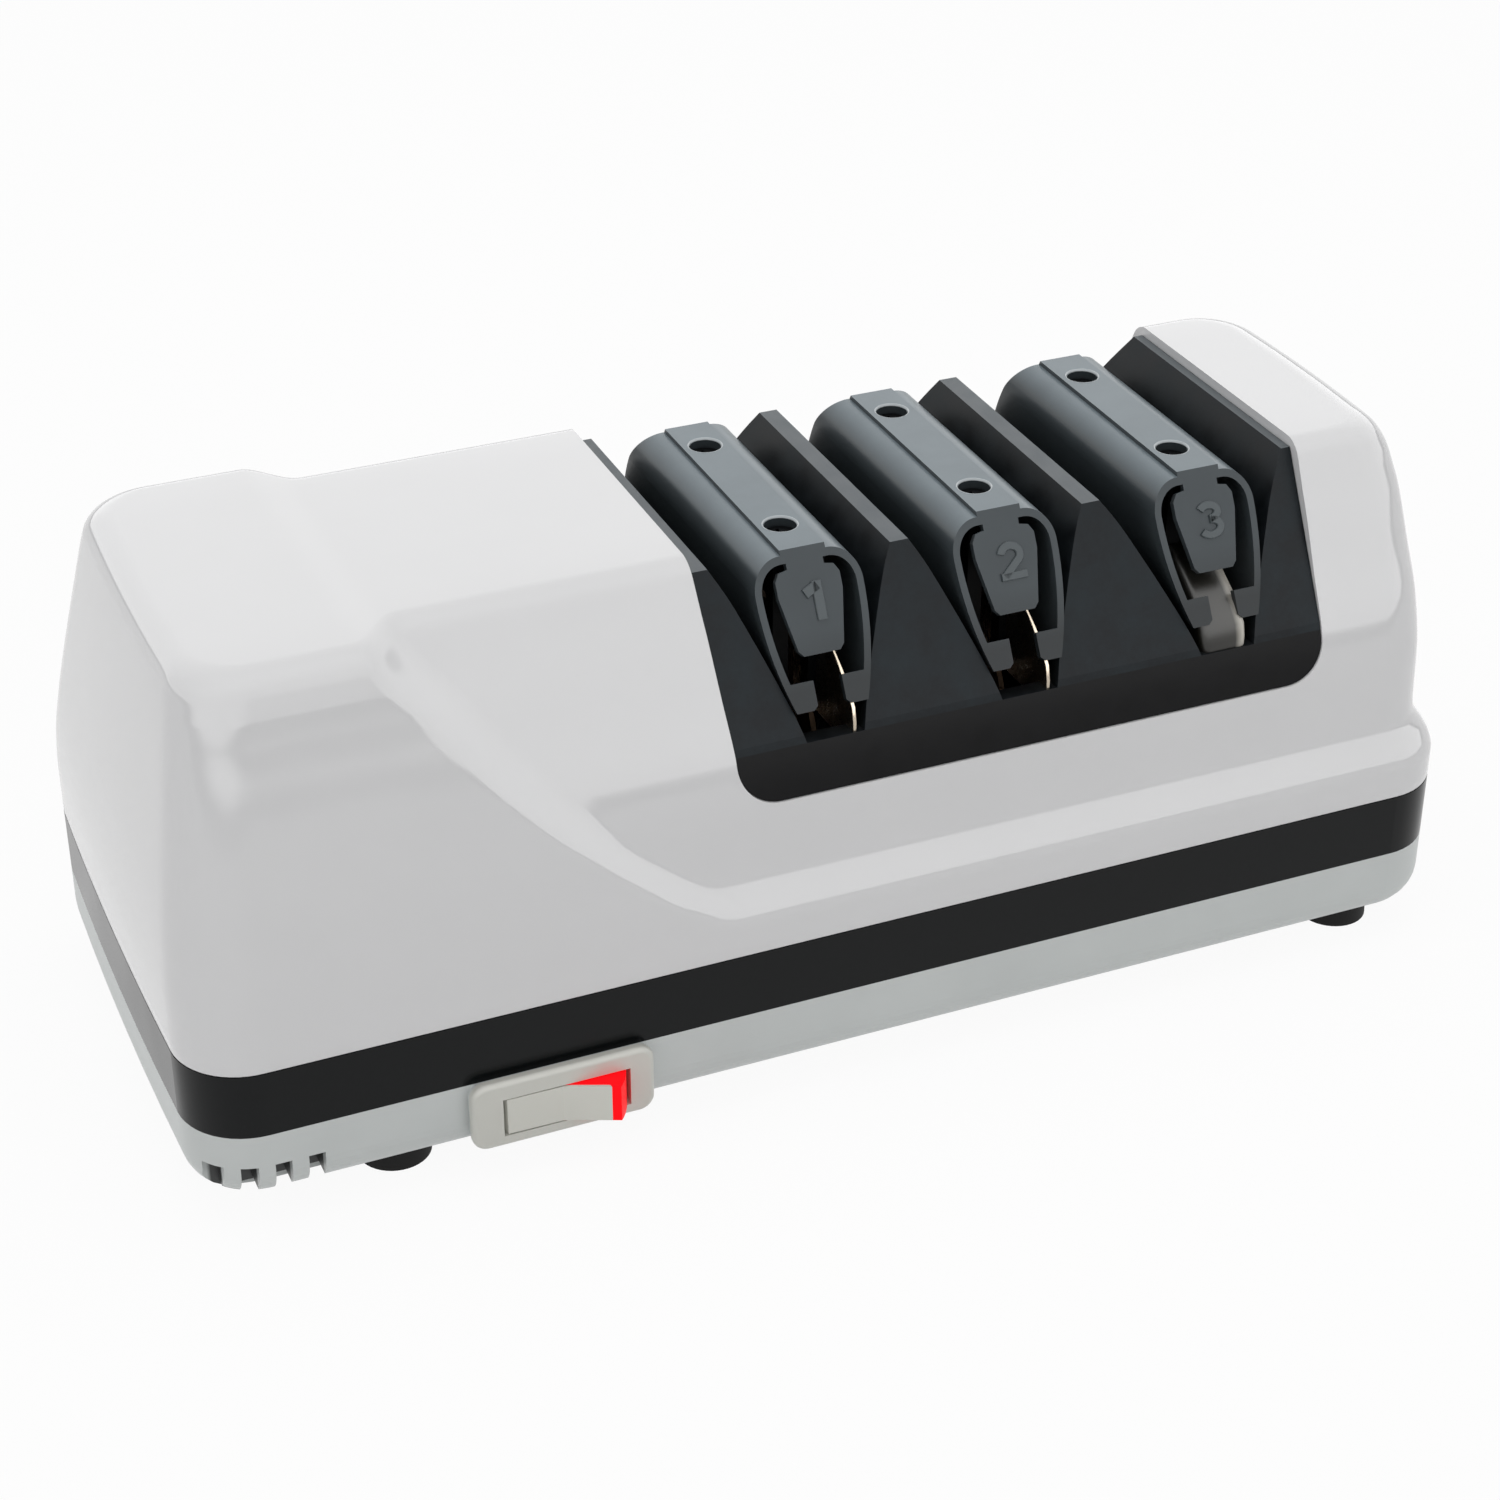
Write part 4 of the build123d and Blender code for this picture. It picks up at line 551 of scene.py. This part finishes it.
# Fibres about 0.5 mm long roughen the skin by 0.01 mm, so that it is matt with duller patches.
FIBRE_MM, FIBRE_DEPTH = 0.5, 0.01
fibre = shader(tree, "TexNoise", {"Vector": place.outputs["Object"], "Scale": 1 / (FIBRE_MM * MM),
                                  "Detail": 3.0})
relief = shader(tree, "Bump", {"Strength": 1.0, "Distance": FIBRE_DEPTH * MM,
                               "Height": fibre.outputs["Fac"]})
gloss = shader(tree, "MapRange", {"Value": cloud.outputs["Fac"], "From Min": 0.35, "From Max": 0.65,
                                  "To Min": 0.36, "To Max": 0.5})
body = shader(tree, "BsdfPrincipled", {"Base Color": tone_with_top_highlight.outputs[0],
                                       "Roughness": gloss.outputs["Result"],
                                       "Specular IOR Level": 0.11,
                                       "Normal": relief.outputs["Normal"]})
tree.links.new(body.outputs[0], out.inputs["Surface"])
dress(cloudy_nylon, "stage_insert")


# ---- guide springs ---------------------------------------------------------
# Arched slate mouldings that press the blade against the dividers, each fixed
# by two screws in lipped holes.  Tough acetal from a finely etched tool: satin,
# with a painted highlight on faces that look up and painted shade low down
# between the dividers.
STAGE_Y = -4.0                  # middle of the springs from front to back
STRIP_TOP = 100.75              # top of the strip that the screws go through
STRIP_END = 27.03               # from a spring's middle to either end of its strip
DIM_Z, CLEAR_Z = 79.0, 88.0
HAZE_MM, ETCH_MM, ETCH_DEPTH = 9.0, 0.6, 0.0015
slate_acetal, tree, out = new_material("satin slate acetal")
place = shader(tree, "TexCoord")
position = shader(tree, "SeparateXYZ", {0: place.outputs["Object"]})
# Painted shade: the colour darkens low down between the dividers.
height = shader(tree, "MapRange", {"Value": position.outputs["Z"], "From Min": DIM_Z * MM,
                                   "From Max": CLEAR_Z * MM, "To Min": 0.3, "To Max": 1.0})
facing = shader(tree, "NewGeometry")
upright = shader(tree, "SeparateXYZ", {0: facing.outputs["Normal"]})
# Painted highlight: faces that look up are painted paler, the more so the more level they are.
painted_top_light = shader(tree, "MapRange", {"Value": upright.outputs["Z"], "From Min": 0.5, "From Max": 1.0,
                                   "To Min": 0.66, "To Max": 2.3})
strength = shader(tree, "Math", {0: height.outputs["Result"], 1: painted_top_light.outputs["Result"]},
                  operation="MULTIPLY")
haze = shader(tree, "TexNoise", {"Vector": place.outputs["Object"], "Scale": 1 / (HAZE_MM * MM),
                                 "Detail": 3.0})
patch = shader(tree, "MixRGB", {0: haze.outputs["Fac"], 1: linear("#444b4f"), 2: linear("#4f575b")})
tint = shader(tree, "HueSaturation", {"Color": patch.outputs[0], "Value": strength.outputs[0]})
etch = shader(tree, "TexNoise", {"Vector": place.outputs["Object"], "Scale": 1 / (ETCH_MM * MM),
                                 "Detail": 2.0})
relief = shader(tree, "Bump", {"Strength": 1.0, "Distance": ETCH_DEPTH * MM,
                               "Height": etch.outputs["Fac"]})
body = shader(tree, "BsdfPrincipled", {"Base Color": tint.outputs["Color"], "Roughness": 0.3,
                                       "Specular IOR Level": 0.2,
                                       "Normal": relief.outputs["Normal"]})
tree.links.new(body.outputs[0], out.inputs["Surface"])
dress(slate_acetal, "guide_spring_1", "guide_spring_2", "guide_spring_3")


def swept(name, profile, tracks, material, closed=False):
    """One cross section carried along each track of placed frames (centre, across, up).

    A closed track is a loop with smooth faces; an open one gets flat faces and end caps."""
    mesh = bmesh.new()
    for track in tracks:
        rings = [[mesh.verts.new((centre + across * u + up * v) * MM) for u, v in profile]
                 for centre, across, up in track]
        pairs = list(zip(rings, rings[1:])) + ([(rings[-1], rings[0])] if closed else [])
        for one, two in pairs:
            for i in range(len(profile)):
                j = (i + 1) % len(profile)
                mesh.faces.new((one[i], one[j], two[j], two[i]))
        if not closed:
            mesh.faces.new(rings[0])
            mesh.faces.new(rings[-1][::-1])
    bmesh.ops.recalc_face_normals(mesh, faces=mesh.faces)
    piece = placed(name, mesh, smooth=closed)
    piece.data.materials.append(material)
    return piece


# Rounded lips round the mouths of the two screw holes, painted much paler than the strip as a
# painted highlight.
HOLE_Y = 17.6
LIP_STEPS = 64
# Out from the hole's middle, and up from the strip's top.
LIP = ((3.36, -0.1), (3.34, 0.03), (3.28, 0.06), (3.2, 0.03), (3.08, -0.1), (2.98, -0.26),
       (2.96, -0.4), (3.24, -0.42))
UP = Vector((0, 0, 1))
highlight_acetal = moulded("slate acetal with painted highlight", "#a8afb2", 0.22, grain_mm=0.8, depth_mm=0.0015)
spokes = [Vector((math.cos(turn), math.sin(turn), 0))
          for turn in (2 * math.pi * k / LIP_STEPS for k in range(LIP_STEPS))]
for number, x in enumerate(STAGES, 1):
    rounds = [[(Vector((x, y, STRIP_TOP)), spoke, UP) for spoke in spokes]
              for y in (STAGE_Y - HOLE_Y, STAGE_Y + HOLE_Y)]
    hole_lips = swept(f"hole_lips_{number}", LIP, rounds, highlight_acetal, closed=True)
    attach(hole_lips, "housing")

# Stage numbers stand proud of the leaning tongues, as broad plain strokes with their
# faces rubbed paler than the springs.
PROUD, SUNK, CHAMFER = 0.45, -0.3, 0.15
TONGUE_UP = Vector((0, 0.498, 0.867))
TONGUE_OUT = Vector((0, -0.867, 0.498))
FIGURE_DROP = 9.9               # down the tongue from the strip's front end
FIGURE_SHIFT = 0.6
ARC_STEPS = 16


def bow(cx, cy, rx, ry, start, end):
    """Points on an elliptic arc, angles in degrees."""
    turns = [math.radians(start + (end - start) * i / ARC_STEPS) for i in range(ARC_STEPS + 1)]
    return [(cx + rx * math.cos(turn), cy + ry * math.sin(turn)) for turn in turns]


# Half the stroke's width, then the strokes of each figure, right and up from its middle.
FIGURES = ((0.95, [(0.7, -3.5), (0.7, 3.5)], [(0.75, 2.7), (-1.8, 1.45)]),
           (0.75, bow(0, 1.1, 1.9, 1.65, 170, -35) + [(-1.75, -2.75)],
            [(-2.5, -2.75), (2.6, -2.75)]),
           (0.75, bow(-0.1, 1.5, 1.85, 1.3, 155, -88), bow(-0.1, -1.3, 2.05, 1.45, 88, -155)))
paler_acetal = moulded("slate acetal with rubbed figures", "#484f52", 0.28, grain_mm=0.6,
                       depth_mm=0.0015, specular=0.25)
for number, (x, (half, *strokes)) in enumerate(zip(STAGES, FIGURES), 1):
    ridge = ((-half, SUNK), (-half, PROUD - CHAMFER), (-half + CHAMFER, PROUD),
             (half - CHAMFER, PROUD), (half, PROUD - CHAMFER), (half, SUNK))
    middle = Vector((x + FIGURE_SHIFT, STAGE_Y - STRIP_END, STRIP_TOP)) - TONGUE_UP * FIGURE_DROP
    tracks = []
    for stroke in strokes:
        track = []
        for i, (u, v) in enumerate(stroke):
            before, after = stroke[max(0, i - 1)], stroke[min(len(stroke) - 1, i + 1)]
            run = Vector((after[0] - before[0], after[1] - before[1])).normalized()
            track.append((middle + Vector((u, 0, 0)) + TONGUE_UP * v,
                          Vector((-run.y, 0, 0)) + TONGUE_UP * run.x, TONGUE_OUT))
        tracks.append(track)
    stage_number = swept(f"stage_number_{number}", ridge, tracks, paler_acetal)
    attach(stage_number, "housing")


# ---- screws ----------------------------------------------------------------
# Steel fasteners, turned or cold headed: dull black oxide where they show on top,
# and bright zinc plating underneath and in the motor.
def metal(name, colour, roughness, grain_mm=0.4, depth_mm=0.002):
    """Bare or plated metal with slight wear in its gloss, drawn coarse enough to show."""
    wear_share = 0.15
    material, tree, out = new_material(name)
    place = shader(tree, "TexCoord")
    wear = shader(tree, "TexNoise", {"Vector": place.outputs["Object"], "Detail": 4.0,
                                     "Scale": 1 / (grain_mm * MM)})
    relief = shader(tree, "Bump", {"Strength": 1.0, "Distance": depth_mm * MM,
                                   "Height": wear.outputs["Fac"]})
    gloss = shader(tree, "MapRange", {"Value": wear.outputs["Fac"], "From Min": 0.3,
                                      "From Max": 0.7, "To Min": roughness * (1 - wear_share),
                                      "To Max": roughness * (1 + wear_share)})
    body = shader(tree, "BsdfPrincipled", {"Base Color": linear(colour), "Metallic": 1.0,
                                           "Roughness": gloss.outputs["Result"],
                                           "Normal": relief.outputs["Normal"]})
    tree.links.new(body.outputs[0], out.inputs["Surface"])
    return material


dress(metal("black oxide steel", "#1b1c1e", 0.45), "guide_screws")
dress(metal("bright zinc plating", "#b9bcc0", 0.28),
      "foot_screws", "housing_screws", "motor_screws")


# ---- discs -----------------------------------------------------------------
# Coned steel discs on the drive shaft, two to a stage.  The first two pairs are
# faced with diamond grit, dark brown and rough, and have bright bare rims.  The
# last pair is polishing compound, dark over most of its front, with a painted
# highlight, pale, along its right side.
dress(metal("diamond-grit steel", "#5a4a3c", 0.5, grain_mm=0.15, depth_mm=0.02),
      "disc_1_left", "disc_1_right", "disc_2_left", "disc_2_right")
# The compound is smooth and satin, with fine specks that dull its sheen a little.
LOBE_X = (71.0, 80.6)           # the last pair's front, from its left to its right side
SPECK_MM, SPECK_DEPTH = 0.3, 0.01
compound, tree, out = new_material("polishing compound with painted highlight")
place = shader(tree, "TexCoord")
position = shader(tree, "SeparateXYZ", {0: place.outputs["Object"]})
across = shader(tree, "MapRange", {"Value": position.outputs["X"], "From Min": LOBE_X[0] * MM,
                                   "From Max": LOBE_X[1] * MM, "To Min": 0.0, "To Max": 1.0})
# Across a pair's front from left to right: dark, then a painted highlight, pale, at its right side.
front_tone_and_highlight = shader(tree, "ValToRGB", {"Fac": across.outputs["Result"]})
front_tone_and_highlight.color_ramp.elements.new(0.72)
for stop, (at, colour) in enumerate(((0.0, "#191815"), (0.72, "#201f1b"), (0.93, "#d2cec4"))):
    front_tone_and_highlight.color_ramp.elements[stop].position = at
    front_tone_and_highlight.color_ramp.elements[stop].color = linear(colour)
speck = shader(tree, "TexNoise", {"Vector": place.outputs["Object"], "Scale": 1 / (SPECK_MM * MM),
                                  "Detail": 3.0})
relief = shader(tree, "Bump", {"Strength": 1.0, "Distance": SPECK_DEPTH * MM,
                               "Height": speck.outputs["Fac"]})
body = shader(tree, "BsdfPrincipled", {"Base Color": front_tone_and_highlight.outputs["Color"], "Roughness": 0.35,
                                       "Normal": relief.outputs["Normal"]})
tree.links.new(body.outputs[0], out.inputs["Surface"])
dress(compound, "disc_3_left", "disc_3_right")

# Outline, back and up, of the part of a pair that shows in front of the insert's bridge.
FRONT_LINE = ((-20.0, 66.0), (-20.0, 86.0), (-31.0, 85.0), (-36.0, 82.4), (-40.0, 80.0),
              (-43.4, 77.6), (-45.8, 74.8), (-46.5, 72.0), (-46.6, 66.0))
HIDDEN_Y = -20.1                # the edge behind this stays sharp
ROUND_STEPS = 6


def disc_front(name, x0, x1, round_mm, material):
    """The showing front of a disc pair, between x0 and x1, with its edges rounded."""
    mesh = prism(FRONT_LINE, x0, x1, axis=0)
    rims = []
    for edge in mesh.edges:
        one, two = (vert.co for vert in edge.verts)
        if abs(one.x - two.x) < 1e-7 and min(one.y, two.y) < HIDDEN_Y * MM:
            rims.append(edge)
    bmesh.ops.bevel(mesh, geom=rims, offset=round_mm * MM, segments=ROUND_STEPS, profile=0.5,
                    affect="EDGES")
    lobe = placed(name, mesh, smooth=True)
    lobe.data.materials.append(material)
    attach(lobe, "housing")


disc_front("polishing_front", *LOBE_X, round_mm=1.8, material=compound)
RIM_X = (3.5, 4.2)              # the bright rim, from its stage's middle
bright_rim = metal("bright disc rim", "#b9ad9c", 0.3)
for number, x in enumerate(STAGES[:2], 1):
    disc_front(f"disc_rim_{number}", x + RIM_X[0], x + RIM_X[1], round_mm=0.2, material=bright_rim)


# ---- switch ----------------------------------------------------------------
# Cream bezel snapped into the boss, and a white rocker on its pivots, both
# semi-gloss ABS.  The signal red flag let into the rocker is given a painted
# glow, so that it stays bright in the shade.
FLAG_GLOW = 0.35
dress(moulded("semi-gloss cream ABS", "#cfcfc8", 0.3, grain_mm=1.0, depth_mm=0.003), "switch_body")
dress(moulded("semi-gloss white ABS", "#d6d6ce", 0.25, grain_mm=1.0, depth_mm=0.003), "rocker")
signal_red = moulded("semi-gloss signal red ABS", "#fa0410", 0.35, grain_mm=1.0, depth_mm=0.003,
                     specular=0.05)
# Painted glow: the flag gives off a little light of its own, though it is no lamp.
glowing = next(node for node in signal_red.node_tree.nodes if node.type == "BSDF_PRINCIPLED")
glowing.inputs["Emission Color"].default_value = linear("#ff1a22")
glowing.inputs["Emission Strength"].default_value = FLAG_GLOW
dress(signal_red, "rocker_flag")


# ---- drive line and motor --------------------------------------------------
# Hidden inside: ground steel shaft and pins, spring wire, laminated stator,
# copper coil, aluminium rotor, pressed steel brackets, bronze bushes, fan.
# Ground and drawn metals are bright, cast and sintered ones duller.
dress(metal("ground steel", "#b4b6ba", 0.22), "drive_shaft", "drive_pins")
dress(metal("bright spring wire", "#a9abb0", 0.3),
      "disc_spring_1", "disc_spring_2", "disc_spring_3")
dress(metal("varnished laminations", "#4a4b50", 0.45), "stator_stack")
dress(moulded("white nylon bobbin", "#d8d5cb", 0.5, grain_mm=0.4, depth_mm=0.005), "coil_bobbin")
dress(metal("enamelled copper wire", "#a4552b", 0.3), "coil_winding")
dress(metal("cast aluminium", "#a5a7aa", 0.4), "rotor")
dress(metal("pressed zinc-coated steel", "#9b9da1", 0.4), "rear_bracket", "front_bracket")
dress(metal("sintered bronze", "#8e6a3c", 0.45), "motor_bushes", "end_bush")
dress(moulded("black fan nylon", "#1d1e20", 0.5, grain_mm=0.4, depth_mm=0.01), "fan")
dress(moulded("dark ferrite", "#2a2a2c", 0.6, grain_mm=0.2, depth_mm=0.01), "dust_magnet")

bpy.context.view_layer.update()
